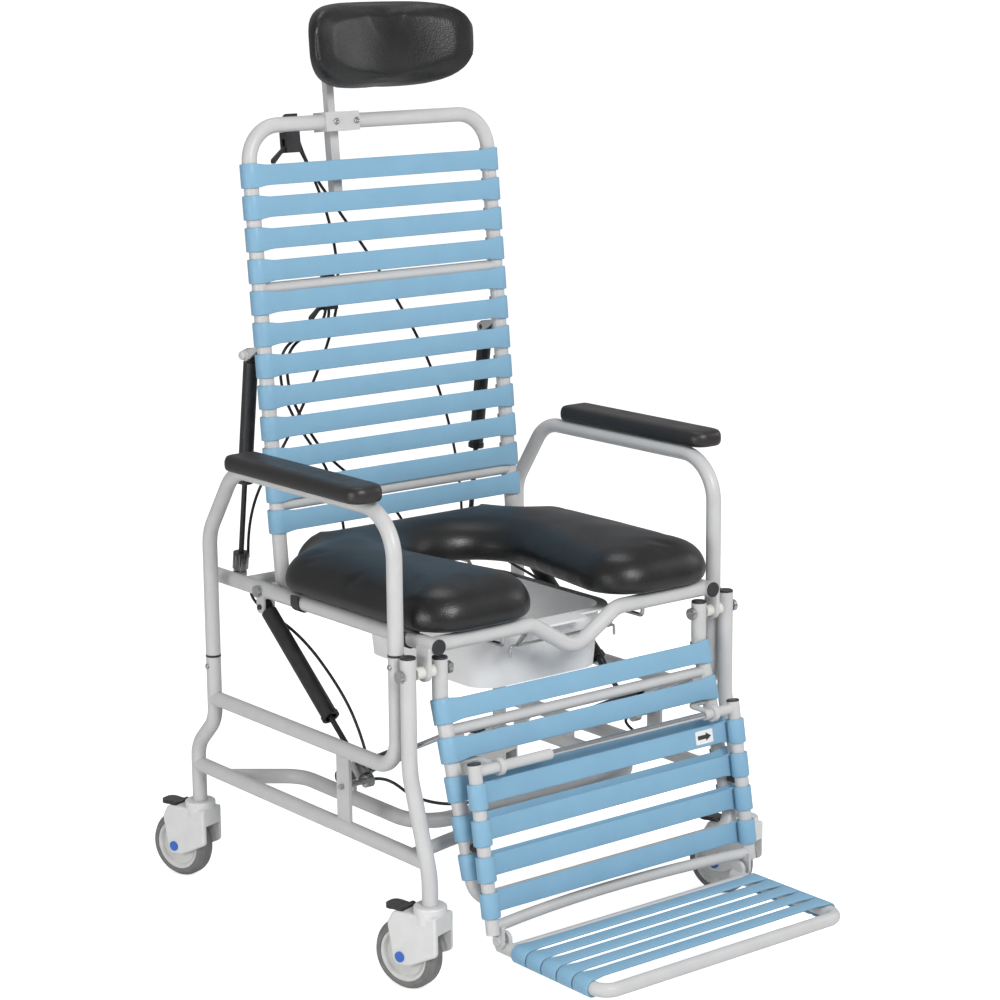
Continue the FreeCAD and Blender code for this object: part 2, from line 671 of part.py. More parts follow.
def pan_outline(half_w, front, rear, z, radius):
    """A rounded rectangle at one height of the pan."""
    corners = [at(half_w, rear, z), at(-half_w, rear, z), at(-half_w, front, z), at(half_w, front, z)]
    return rounded_outline(corners, [radius] * 4)


def commode_pan():
    """The pan: a tapered bowl with a flat rim and a pull tongue at the front."""
    low_z = PAN_RIM_Z - PAN_DEPTH
    top_z = PAN_RIM_Z + PAN_RIM_T

    def bowl(inset, bottom, top):
        low = PAN_TAPER + inset
        return Part.makeLoft([
            pan_outline(PAN_HALF_W - low, PAN_FRONT_Y + low, PAN_REAR_Y - low, bottom, PAN_CORNER_R - low),
            pan_outline(PAN_HALF_W - inset, PAN_FRONT_Y + inset, PAN_REAR_Y - inset, top,
                        PAN_CORNER_R - inset),
        ], True, True)

    rim_wire = pan_outline(PAN_HALF_W + PAN_LIP, PAN_FRONT_Y - PAN_LIP, PAN_REAR_Y + PAN_LIP, PAN_RIM_Z,
                           PAN_CORNER_R + PAN_LIP)
    rim = Part.Face(rim_wire).extrude(UP * PAN_RIM_T)
    front = PAN_FRONT_Y - PAN_LIP
    tongue = Part.Face(pan_outline(TONGUE_HALF_W, front - TONGUE_L, PAN_FRONT_Y, PAN_RIM_Z, PAN_LIP))
    rim = rim.fuse(tongue.extrude(UP * PAN_RIM_T))
    shell = bowl(0.0, low_z, top_z).fuse(rim)
    return shell.cut(bowl(PAN_WALL, low_z + PAN_WALL, top_z)).removeSplitter()


def on_back(shape):
    """A piece of the back, drawn upright over the back pivot, leaned into place."""
    return leaned(moved(shape, BACK_Y, SEAT_Z), BACK_Y, SEAT_Z, BACK_LEAN)


def back_frame():
    """The back's bent tube with two cross bars and the recline spring's ears."""
    hoop = tube([at(-BACK_X, 0, -BACK_FOOT), at(-BACK_X, 0, BACK_TOP), at(BACK_X, 0, BACK_TOP),
                 at(BACK_X, 0, -BACK_FOOT)], [BACK_TOP_R, BACK_TOP_R], TUBE_D)
    bars = [x_pin(-BACK_X, BACK_X, 0, height, SLIM_TUBE_D) for height in (BACK_BAR_LOW, BACK_BAR_HIGH)]
    holders = ears(-BACK_X, (RECLINE_BEHIND, RECLINE_TOP), (TUBE_R / 2, RECLINE_ROOT), RECLINE_ROOT_R, EYE_T)
    frame = hoop.fuse(bars + holders + [mirrored(piece) for piece in holders])
    cuts = []
    for side in (-1, 1):
        near, far = sorted((side * (BACK_X - TUBE_D), side * (BACK_X + TUBE_D)))
        cuts.append(hole(near, far, 0, 0, BOLT_D))
    return on_back(frame.cut(cuts))


def back_straps():
    """Vinyl bands across the front of the back."""
    heights = [BACK_STRAP_FIRST + i * BACK_STRAP_PITCH for i in range(BACK_STRAPS)]
    return placed([strap(BACK_X, STRAP_IN, STRAP_W, STRAP_SPAN_W, height) for height in heights], on_back)


def headrest_clamp():
    """A saddle round the top tube with the square sleeve that takes the head post."""
    half = CLAMP_W / 2
    saddle = block(POST_X - half, POST_X + half, -TUBE_R - CLAMP_T, SLEEVE_Y, BACK_TOP - CLAMP_H / 2,
                   BACK_TOP + CLAMP_H / 2)
    side = SLEEVE_SIDE / 2
    sleeve = block(POST_X - side, POST_X + side, SLEEVE_Y - side, SLEEVE_Y + side, SLEEVE_LOW, SLEEVE_HIGH)
    bore = POST_SIDE / 2 + RUN_GAP
    hollow = block(POST_X - bore, POST_X + bore, SLEEVE_Y - bore, SLEEVE_Y + bore, SLEEVE_LOW - CAP_T,
                   SLEEVE_HIGH + CAP_T)
    bar = x_pin(POST_X - CLAMP_W, POST_X + CLAMP_W, 0, BACK_TOP, TUBE_D)
    return on_back(saddle.fuse(sleeve).cut([hollow, bar]))


def headrest_post():
    """The square post and the plate behind the head cushion."""
    side = POST_SIDE / 2
    post = block(POST_X - side, POST_X + side, SLEEVE_Y - side, SLEEVE_Y + side, POST_LOW, POST_HIGH)
    front = SLEEVE_Y - side
    x1 = POST_X - SLEEVE_SIDE
    plate = block(x1, x1 + HEAD_PLATE_W, front - HEAD_PLATE_T, front, POST_HIGH - HEAD_PLATE_H, POST_HIGH)
    return on_back(post.fuse(plate))


def headrest_cushion():
    """A head pad that wraps forward at both ends, lofted from side to side."""
    rear = SLEEVE_Y - POST_SIDE / 2 - HEAD_PLATE_T - SEAT_GAP
    sections = []
    half = [(1.0, 0.3, 0.42), (0.96, 0.5, 0.64), (0.87, 0.72, 0.84), (0.7, 0.89, 0.95), (0.4, 0.98, 1.0)]
    stations = [(-share, tall, deep) for share, tall, deep in half] + [(0.0, 1.0, 1.0)] + half[::-1]
    for share, tall, deep in stations:
        x = HEAD_X + share * HEAD_HALF_W
        back = rear - HEAD_WRAP * share * share
        half_h = HEAD_HALF_H * tall
        middle = back - HEAD_DEPTH / 2
        half_d = HEAD_DEPTH / 2 * deep
        corners = [at(x, middle + half_d, HEAD_MID - half_h), at(x, middle + half_d, HEAD_MID + half_h),
                   at(x, middle - half_d, HEAD_MID + half_h), at(x, middle - half_d, HEAD_MID - half_h)]
        sections.append(rounded_outline(corners, [half_d * 0.55, half_d * 0.55, half_d * 0.8, half_d * 0.8]))
    return on_back(Part.makeLoft(sections, True, False))


def lever_mount(x, bar, diameter):
    """A saddle behind a bar with the block that carries a hand lever below it."""
    ring_r = diameter / 2 + RUN_GAP + LEVER_RING_T
    ring = x_pin(x - LEVER_RING_W / 2, x + LEVER_RING_W / 2, 0, bar, 2 * ring_r)
    top = bar - diameter / 2
    body = block(x - LEVER_BODY_W / 2, x + LEVER_BODY_W / 2, 0, LEVER_BODY_T, top - LEVER_BODY_H, top)
    slot_half = LEVER_T / 2 + SEAT_GAP
    slot = block(x - LEVER_BODY_W, x + LEVER_BODY_W / 4, LEVER_BODY_T / 2 - slot_half,
                 LEVER_BODY_T / 2 + slot_half, top - LEVER_BODY_H - 1, top - LEVER_BODY_H / 3)
    bar_room = x_pin(x - LEVER_BODY_W, x + LEVER_BODY_W, 0, bar, diameter + 2 * RUN_GAP)
    front = block(x - LEVER_BODY_W, x + LEVER_BODY_W, -2 * ring_r, 0, bar - ring_r, bar + ring_r)
    pin = rod(at(x, 0, top - LEVER_BODY_H * 0.7), at(x, LEVER_BODY_T, top - LEVER_BODY_H * 0.7), STUD_D / 2)
    return on_back(ring.cut(front).fuse(body).cut([slot, bar_room]).fuse(pin))


def hand_lever(x, bar, diameter):
    """The squeezed blade of a lever, hung on the mount's pin and hooked down at its tip."""
    pin_z = bar - diameter / 2 - LEVER_BODY_H * 0.7
    y1 = LEVER_BODY_T / 2 - LEVER_T / 2
    tip_z = pin_z - LEVER_DROP
    corners = [at(x + 5, y1, pin_z + 5), at(x - 6, y1, pin_z + 5), at(x - LEVER_L, y1, tip_z + 3),
               at(x - LEVER_L, y1, tip_z - 6), at(x - LEVER_L / 2, y1, pin_z - 9), at(x + 5, y1, pin_z - 5)]
    outline = rounded_outline(corners, [3.0, 3.0, 4.0, 2.0, 8.0, 3.0])
    blade = Part.Face(outline).extrude(FreeCAD.Vector(0, LEVER_T, 0))
    pin = rod(at(x, y1 - 1, pin_z), at(x, y1 + LEVER_T + 1, pin_z), STUD_D / 2 + 2 * RUN_GAP)
    return on_back(blade.cut(pin))


def spring_parts(x, high, low, diameter, barrel_l, rod_in, high_stud, low_stud, head):
    """A gas spring in the plane x: barrel with an eye at high, rod with a head at low."""
    top = at(x, *high)
    foot = at(x, *low)
    down = (foot - top).normalize()
    eye_r = EYE_D / 2
    shoulder = top + down * (eye_r + EAR_T / 2)
    barrel = rod(shoulder, top + down * barrel_l, diameter).fuse(rod(top, shoulder + down * EAR_T, EYE_T - 1))
    collar = rod(top + down * (barrel_l - HEAD_T), top + down * barrel_l, diameter + 3)
    barrel = barrel.fuse(collar).cut(rod(top + down * (2 * EYE_D), top + down * (barrel_l + 1), BARREL_BORE))
    half = EYE_T / 2
    barrel = barrel.fuse([x_pin(x - half, x + half, *high, EYE_D), x_pin(*high_stud, *high, STUD_D)])
    lower = rod(foot - down * (eye_r - 1), top + down * (barrel_l - rod_in), ROD_D)
    pieces = [x_pin(x - half, x + half, *low, EYE_D), x_pin(*low_stud, *low, STUD_D)]
    if head:
        pieces.append(rod(foot - down * (HEAD_BLOCK_L - eye_r), foot - down * (eye_r - 2), HEAD_BLOCK_D))
    return barrel, lower.fuse(pieces)


def back_point(behind, height):
    """The (y, z) of a point on the leaned back, from its place on the upright one."""
    turn = math.radians(BACK_LEAN)
    return (BACK_Y + behind * math.cos(turn) + height * math.sin(turn),
            SEAT_Z - behind * math.sin(turn) + height * math.cos(turn))


def recline_spring():
    """The left recline spring: barrel on the back, rod on the seat rail."""
    reach = EYE_T / 2 + SEAT_GAP + EAR_T
    x = -BACK_X
    return spring_parts(x, back_point(RECLINE_BEHIND, RECLINE_TOP), (RECLINE_FOOT_Y, SEAT_Z), BARREL_D,
                        RECLINE_BARREL_L, RECLINE_ROD_IN, (x - reach - HEAD_T, x + reach),
                        (-SEAT_X - TUBE_R - HEAD_T, x), True)


def tilt_spring():
    """The left tilt spring: shrouded barrel under the seat rail, rod on the base's bar."""
    reach = EYE_T / 2 + SEAT_GAP + EAR_T
    x = -SEAT_X
    return spring_parts(x, TILT_HIGH, TILT_LOW, SHROUD_D, TILT_BARREL_L, TILT_ROD_IN,
                        (x - reach - HEAD_T / 2, x + reach), (-LEG_X - BAR_T / 2 - HEAD_T, x), True)


def leg_spring():
    """The left leg spring: barrel on the base's lug, rod on the leg rest."""
    x = -STRUT_X
    return spring_parts(x, STRUT_REAR, STRUT_FRONT, BARREL_D, STRUT_BARREL_L, STRUT_ROD_IN,
                        (x, -U_X + PLATE_T / 2 + HEAD_T / 2), (x, x + EYE_T / 2 + SEAT_GAP + EAR_T), False)


def legrest_point(s):
    """The (y, z) of a point down the leg rest's slanted run."""
    turn = math.radians(LEGREST_LEAN)
    return -s * math.sin(turn), LEGREST_BEND_Z - s * math.cos(turn)


def hanger():
    """The left hook that carries the foot panel's latch sleeve, curved in from the leg rest's tube."""
    turn = math.radians(LEGREST_LEAN)
    root_z = LATCH_Z
    root_y = -(LEGREST_BEND_Z - root_z) * math.tan(turn)
    ring_r = LATCH_SLEEVE_D / 2 + SEAT_GAP + HANGER_WALL
    x1 = -HANGER_X - HANGER_T / 2
    x2 = -HANGER_X + HANGER_T / 2
    arm_path = [at(-LEGREST_X, root_y, root_z), at(-HANGER_X, root_y, root_z),
                at(-HANGER_X, LATCH_Y, LATCH_Z)]
    hook = tube(arm_path, [ring_r], HANGER_T)
    ring = x_pin(x1, x2, LATCH_Y, LATCH_Z, 2 * ring_r)
    bore = x_pin(x1 - 1, x2 + 1, LATCH_Y, LATCH_Z, LATCH_SLEEVE_D + 2 * SEAT_GAP)
    return hook.fuse(ring).cut(bore)


def legrest_frame():
    """The leg rest's U-shaped tube, its cross bar, the spring ears and the panel's hangers."""
    y, z = legrest_point(LEGREST_L)
    left = [at(-LEGREST_X, 0, LEGREST_TOP_Z), at(-LEGREST_X, 0, LEGREST_BEND_Z), at(-LEGREST_X, y, z)]
    right = [at(LEGREST_X, 0, LEGREST_TOP_Z), at(LEGREST_X, 0, LEGREST_BEND_Z), at(LEGREST_X, y, z)]
    bends = [LEGREST_BEND_R, LEGREST_CORNER_R, LEGREST_CORNER_R, LEGREST_BEND_R]
    loop = tube(left + right[::-1], bends, TUBE_D)
    bar_y, bar_z = legrest_point(LEGREST_BAR_S)
    bar = x_pin(-LEGREST_X, LEGREST_X, bar_y, bar_z, HEEL_D)
    r = EYE_D / 2
    turn = math.radians(LEGREST_LEAN)
    root_y = -(LEGREST_BEND_Z - STRUT_FRONT[1]) * math.tan(turn)
    middle = -STRUT_X + EYE_T / 2 + SEAT_GAP + EAR_T / 2
    ear = side_plate([(STRUT_FRONT[0] + r, STRUT_FRONT[1] - r), (STRUT_FRONT[0] + r, STRUT_FRONT[1] + r),
                      (root_y, STRUT_FRONT[1] + r), (root_y, STRUT_FRONT[1] - r)],
                     [r - 1, r - 1, 1.0, 1.0], middle, EAR_T)
    ear = ear.cut(hole(middle - EAR_T, middle + EAR_T, *STRUT_FRONT, STUD_D))
    root = block(-LEGREST_X, middle + EAR_T / 2, root_y - EAR_T / 2, root_y + EAR_T / 2,
                 STRUT_FRONT[1] - r, STRUT_FRONT[1] + r)
    extras = [ear, root, hanger()]
    frame = loop.fuse([bar] + extras + [mirrored(piece) for piece in extras])
    return frame.cut([hole(-LEGREST_X - TUBE_D, -LEGREST_X + TUBE_D, 0, PIVOT_Z, BOLT_D),
                      hole(LEGREST_X - TUBE_D, LEGREST_X + TUBE_D, 0, PIVOT_Z, BOLT_D)])


def on_legrest(shape):
    """A piece of the leg rest, drawn upright below its bend, leaned into place."""
    return leaned(moved(shape, 0, LEGREST_BEND_Z), 0, LEGREST_BEND_Z, LEGREST_LEAN)


def legrest_straps():
    """Vinyl bands on the leg rest."""
    depths = [LEGREST_STRAP_FIRST + i * LEGREST_STRAP_PITCH for i in range(LEGREST_STRAPS)]
    return placed([strap(LEGREST_X, STRAP_IN, STRAP_W, STRAP_SPAN_W, -depth) for depth in depths], on_legrest)


def on_panel(shape):
    """A piece of the foot panel, drawn hanging from the panel's top, leaned into place."""
    return leaned(moved(shape, PANEL_Y, PANEL_TOP_Z), PANEL_Y, PANEL_TOP_Z, PANEL_LEAN)


def panel_frame():
    """Two panel tubes, the bowed heel bar and the footplate's hinge tabs."""
    side = rod(at(-LEGREST_X, 0, -PANEL_L), at(-LEGREST_X, 0, 0), SLIM_TUBE_D)
    bow = Part.Arc(at(-LEGREST_X, 0, -HEEL_S), at(0, HEEL_BOW, -HEEL_S), at(LEGREST_X, 0, -HEEL_S)).toShape()
    section = Part.Wire(Part.makeCircle(HEEL_D / 2, bow.valueAt(bow.FirstParameter),
                                        bow.tangentAt(bow.FirstParameter)))
    heel = Part.Wire(bow).makePipeShell([section], True, False)
    frame = on_panel(side.fuse([mirrored(side), heel]))
    x = -FOOT_X - SLIM_R - SEAT_GAP - TAB_T / 2
    y = PANEL_BOTTOM_Y
    tab = side_plate([(y - TAB_R, FOOT_HINGE_Z - TAB_R), (y + TAB_R, FOOT_HINGE_Z - TAB_R),
                      (y + TAB_R, PANEL_BOTTOM_Z + TAB_R), (y - TAB_R, PANEL_BOTTOM_Z + TAB_R)],
                     [TAB_R - 1, TAB_R - 1, 1.0, 1.0], x, TAB_T)
    tab = tab.cut(hole(x - TAB_T, x + TAB_T, y, FOOT_HINGE_Z, STUD_D))
    return frame.fuse(both(tab))


def panel_straps():
    """Vinyl bands on the foot panel, drawn across behind its tubes."""
    depths = [PANEL_STRAP_FIRST + i * PANEL_STRAP_PITCH for i in range(PANEL_STRAPS)]
    bands = [strap(LEGREST_X, SLIM_R + SEAT_GAP, STRAP_W, STRAP_SPAN_W, -depth) for depth in depths]
    return placed(bands, lambda piece: on_panel(piece.mirror(at(0, 0, 0), FreeCAD.Vector(0, 1, 0))))


def latch_sleeve(frame):
    """The long sleeve on the panel's left tube and the short one on its right, for the latch rod."""
    inner = LEGREST_X - SLIM_R - HEAD_T
    sleeve = x_pin(-LEGREST_X, LATCH_SLEEVE_END_X, LATCH_Y, LATCH_Z, LATCH_SLEEVE_D)
    stub = x_pin(LATCH_STUB_X, LEGREST_X, LATCH_Y, LATCH_Z, LATCH_SLEEVE_D)
    bore = x_pin(-inner, inner, LATCH_Y, LATCH_Z, LATCH_D + 2 * RUN_GAP)
    pieces = [piece.cut([bore, frame]) for piece in (sleeve, stub)]
    return [max(piece.Solids, key=lambda s: s.Volume) for piece in pieces]


def panel_stop():
    """The left rubber stop between the foot panel and the leg rest's tube."""
    panel_y = PANEL_Y - (PANEL_TOP_Z - STOP_Z) * math.tan(math.radians(PANEL_LEAN))
    turn = math.radians(LEGREST_LEAN)
    rest_y = -(LEGREST_BEND_Z - STOP_Z) * math.tan(turn) - TUBE_R / math.cos(turn)
    reach = STOP_D / 2 * math.tan(turn) + SEAT_GAP
    return rod(at(-LEGREST_X, panel_y, STOP_Z), at(-LEGREST_X, rest_y - reach, STOP_Z), STOP_D)


def foot_frame():
    """The footplate's bent tube, its rear bar, hinge ears and hinge studs."""
    y = PANEL_BOTTOM_Y
    corners = [at(-FOOT_X, y + TAB_R, FOOT_Z), at(-FOOT_X, FOOT_FRONT_Y, FOOT_Z),
               at(FOOT_X, FOOT_FRONT_Y, FOOT_Z), at(FOOT_X, y + TAB_R, FOOT_Z)]
    loop = tube(corners, [FOOT_CORNER_R, FOOT_CORNER_R], SLIM_TUBE_D)
    rear = x_pin(-FOOT_X, FOOT_X, FOOT_CROSS_Y, FOOT_Z, HEEL_D)
    ear = side_plate([(y - TAB_R, FOOT_Z), (y + TAB_R, FOOT_Z), (y + TAB_R, FOOT_HINGE_Z + TAB_R),
                      (y - TAB_R, FOOT_HINGE_Z + TAB_R)], [1.0, 1.0, TAB_R - 1, TAB_R - 1], -FOOT_X, PLATE_T)
    outer = -FOOT_X - SLIM_R - SEAT_GAP - TAB_T - SEAT_GAP
    stud = x_pin(outer, -FOOT_X, y, FOOT_HINGE_Z, STUD_D)
    head = x_pin(outer - HEAD_T / 2, outer, y, FOOT_HINGE_Z, HEAD_D - HEAD_T / 2)
    extras = [ear, stud.fuse(head)]
    return loop.fuse([rear] + extras + [mirrored(piece) for piece in extras])


def foot_straps():
    """Vinyl bands laid over the footplate's side tubes."""
    bands = []
    for i in range(FOOT_STRAPS):
        for piece in strap(FOOT_X, SLIM_R + SEAT_GAP, FOOT_STRAP_W, FOOT_STRAP_SPAN_W, 0):
            piece.rotate(at(0, 0, 0), ACROSS, -90)
            bands.append(moved(piece, FOOT_STRAP_FIRST_Y - i * FOOT_STRAP_PITCH, FOOT_Z))
    return bands


def caster_housing():
    """A hooded fork drawn at the stem, trailing to +Y, with its axle and two hub caps."""
    axle_z = WHEEL_D / 2
    roof = WHEEL_D + CASTER_CLEAR
    front = -CASTER_W / 2
    boss = 14.0
    corners = [(front, roof + 12), (front, axle_z + 10), (TRAIL - boss, axle_z - boss + 2),
               (TRAIL + boss - 2, axle_z - boss), (TRAIL + boss + 8, roof - 8), (TRAIL + boss - 2, roof + 10)]
    radii = [2.0, 8.0, 11.0, 11.0, 10.0, 8.0]
    fork = side_plate([(y + ORIGIN_Y, z) for y, z in corners], radii, 0, CASTER_W - 2)
    rims = [e for e in fork.Edges if abs(abs(e.CenterOfMass.x) - (CASTER_W / 2 - 1)) < 0.01]
    fork = fork.makeFillet(4.0, rims)
    cap_top = LEG_FOOT_Z - SEAT_GAP
    cap = Part.makeCylinder(CASTER_W / 2, cap_top - roof + 1, FreeCAD.Vector(0, 0, roof - 1))
    cap_rims = [e for e in cap.Edges if e.isClosed() and e.CenterOfMass.z > cap_top - 0.1]
    cap = cap.makeFillet(3.0, cap_rims)
    stem = Part.makeCylinder(STEM_D / 2, STEM_L, FreeCAD.Vector(0, 0, cap_top))
    half = CASTER_SLOT_W / 2
    hub = FreeCAD.Vector(-half, TRAIL, axle_z)
    wheel_room = Part.makeCylinder(roof - axle_z, CASTER_SLOT_W, hub, ACROSS)
    mouth = Part.makeBox(CASTER_SLOT_W - 4, CASTER_W / 2, roof - 14, FreeCAD.Vector(-half + 2, front - 1, 0))
    pedal_room = Part.makeBox(CASTER_SLOT_W, WHEEL_D, WHEEL_D,
                              FreeCAD.Vector(-half, PEDAL_AXIS - PEDAL_T - SEAT_GAP, roof + 1))
    housing = fork.fuse([cap, stem]).cut([wheel_room, mouth, pedal_room])
    side = CASTER_W / 2 - 1
    axle = Part.makeCylinder(AXLE_D / 2, 2 * side, FreeCAD.Vector(-side, TRAIL, axle_z), ACROSS)
    housing = housing.cut(axle)
    caps = []
    for x in (-side - CAP_T / 2, side):
        caps.append(Part.makeCylinder(HUB_CAP_D / 2, CAP_T / 2, FreeCAD.Vector(x, TRAIL, axle_z), ACROSS))
    return [max(housing.Solids, key=lambda s: s.Volume), axle.fuse(caps)]


def caster_wheel():
    """A grey tyre with rounded shoulders on a dished rim."""
    axle_z = WHEEL_D / 2
    half = TYRE_W / 2
    rim_r = RIM_D / 2
    tread = half * 0.45

    def ring(points, radii):
        wire = rounded_outline([FreeCAD.Vector(x, TRAIL, axle_z + r) for x, r in points], radii)
        return Part.Face(wire).revolve(FreeCAD.Vector(0, TRAIL, axle_z), ACROSS, 360)

    tyre = ring([(-half, rim_r), (half, rim_r), (half, axle_z - 6), (tread, axle_z), (-tread, axle_z),
                 (-half, axle_z - 6)], [1.0, 1.0, 5.0, 6.0, 6.0, 5.0])
    bore = AXLE_D / 2 + RUN_GAP
    web = half * 0.55
    rim = ring([(-half + 1, bore), (half - 1, bore), (half - 1, bore + 8), (web, bore + 12), (web, rim_r - 8),
                (half - 2, rim_r - 4), (half - 2, rim_r), (-half + 2, rim_r), (-half + 2, rim_r - 4),
                (-web, rim_r - 8), (-web, bore + 12), (-half + 1, bore + 8)],
               [0.5, 0.5, 2.0, 2.0, 2.0, 1.0, 0.5, 0.5, 1.0, 2.0, 2.0, 2.0])
    return [tyre, rim]


def caster_pedal():
    """The brake pedal: a hub in the fork's rear top and a widening toe plate."""
    hub_r = PEDAL_T
    half = CASTER_SLOT_W / 2 - SEAT_GAP
    hub = Part.makeCylinder(hub_r, 2 * half, FreeCAD.Vector(-half, PEDAL_AXIS, PEDAL_Z), ACROSS)
    toe = PEDAL_W / 2
    neck = toe * 0.7
    top = PEDAL_Z + hub_r
    corners = [FreeCAD.Vector(neck, PEDAL_AXIS - hub_r, top), FreeCAD.Vector(toe, PEDAL_TIP - toe, top),
               FreeCAD.Vector(toe, PEDAL_TIP, top), FreeCAD.Vector(-toe, PEDAL_TIP, top),
               FreeCAD.Vector(-toe, PEDAL_TIP - toe, top), FreeCAD.Vector(-neck, PEDAL_AXIS - hub_r, top)]
    plate = Part.Face(rounded_outline(corners, [2.0, 6.0, 9.0, 9.0, 6.0, 2.0])).extrude(UP * -PEDAL_T)
    return hub.fuse(plate)


def set_caster(shape, x, y):
    """A caster piece put under its leg and turned about its stem."""
    turned = shape.copy()
    turned.rotate(FreeCAD.Vector(0, 0, 0), UP, CASTER_TURN)
    turned.translate(at(x, y, 0))
    return turned


def cable(points):
    """A control cable: straight runs with arcs as large as the runs allow."""
    radii = []
    for i in range(1, len(points) - 1):
        back = points[i - 1] - points[i]
        ahead = points[i + 1] - points[i]
        turn = math.pi - back.getAngle(ahead)
        radii.append(0.45 * min(back.Length, ahead.Length) / math.tan(turn / 2))
    return tube(points, radii, CABLE_D)


def on_back_points(places):
    """Points given as across, behind and up the back, put on the leaned back."""
    return [at(x, *back_point(behind, height)) for x, behind, height in places]


def recline_cables():
    """Two cables from the recline lever down behind the bands to the two spring heads."""
    start = LEVER_X + LEVER_BODY_W / 2 + CABLE_D / 2
    beside = BACK_X - HEAD_BLOCK_D / 2 - CABLE_D / 2 - 2 * SEAT_GAP
    foot_y = RECLINE_FOOT_Y - SEAT_GAP
    foot_z = SEAT_Z + HEAD_BLOCK_L / 2
    left = on_back_points([(start, 9, 634), (-92, 20, 590), (-58, 27, 490), (-60, 30, 380), (-148, 60, 205)])
    left += [at(-beside, foot_y, SEAT_Z + 100), at(-beside, foot_y, foot_z)]
    right = on_back_points([(start, 9, 648), (-100, 32, 612), (-36, 38, 530), (26, 30, 435), (112, 36, 290)])
    right += [at(beside, foot_y, SEAT_Z + 100), at(beside, foot_y, foot_z)]
    return [cable(left), cable(right)]


def tilt_cables():
    """Two cables from the tilt lever, looped behind the bands and down to the seat's rear tube."""
    start_z = BACK_BAR_HIGH - SLIM_R - LEVER_BODY_H - SEAT_GAP
    behind_y = SEAT_CROSS_Y + TUBE_R + CABLE_D / 2 + SEAT_GAP
    end_z = SEAT_Z + CABLE_D / 2 + SEAT_GAP
    pieces = []
    for shift, end_x in ((0, -CABLE_DROP_X), (12, CABLE_DROP_X)):
        run = on_back_points([(TILT_LEVER_X - 5 + shift / 2, 9, start_z), (-100 + shift, 16, 368),
                              (-168 + shift, 28, 352), (-178 + shift, 28, 290), (-150 + shift, 28, 225),
                              (-103 + shift, 28, 160)])
        run += [at(end_x, behind_y, SEAT_Z + 60), at(end_x, behind_y, end_z)]
        pieces.append(cable(run))
    return pieces


def lower_cables():
    """The tilt cables' lower runs under the seat, and the link cable between the two tilt heads."""
    behind_y = SEAT_CROSS_Y + TUBE_R + CABLE_D / 2 + SEAT_GAP
    beside = SEAT_X - HEAD_BLOCK_D / 2 - CABLE_D / 2 - 2 * SEAT_GAP
    lane = BACK_X + TUBE_R + CABLE_D
    run = cable([at(-CABLE_DROP_X, behind_y, SEAT_Z), at(-lane, behind_y, SEAT_Z),
                 at(-lane, behind_y, SEAT_Z - 34), at(-lane, 342, 416), at(-lane, 235, 350),
                 at(-beside, TILT_LOW[0] + 30, TILT_LOW[1] + 50),
                 at(-beside, TILT_LOW[0] + 17, TILT_LOW[1] + 14)])
    eye = SEAT_X - EYE_T / 2 - SEAT_GAP
    left = [at(-eye, *TILT_LOW), at(-eye + 26, *TILT_LOW), at(-215, 85, 222), at(-150, 50, 210)]
    right = [at(-point.x, point.y + ORIGIN_Y, point.z) for point in left]
    return both(run) + [cable(left + right[::-1])]


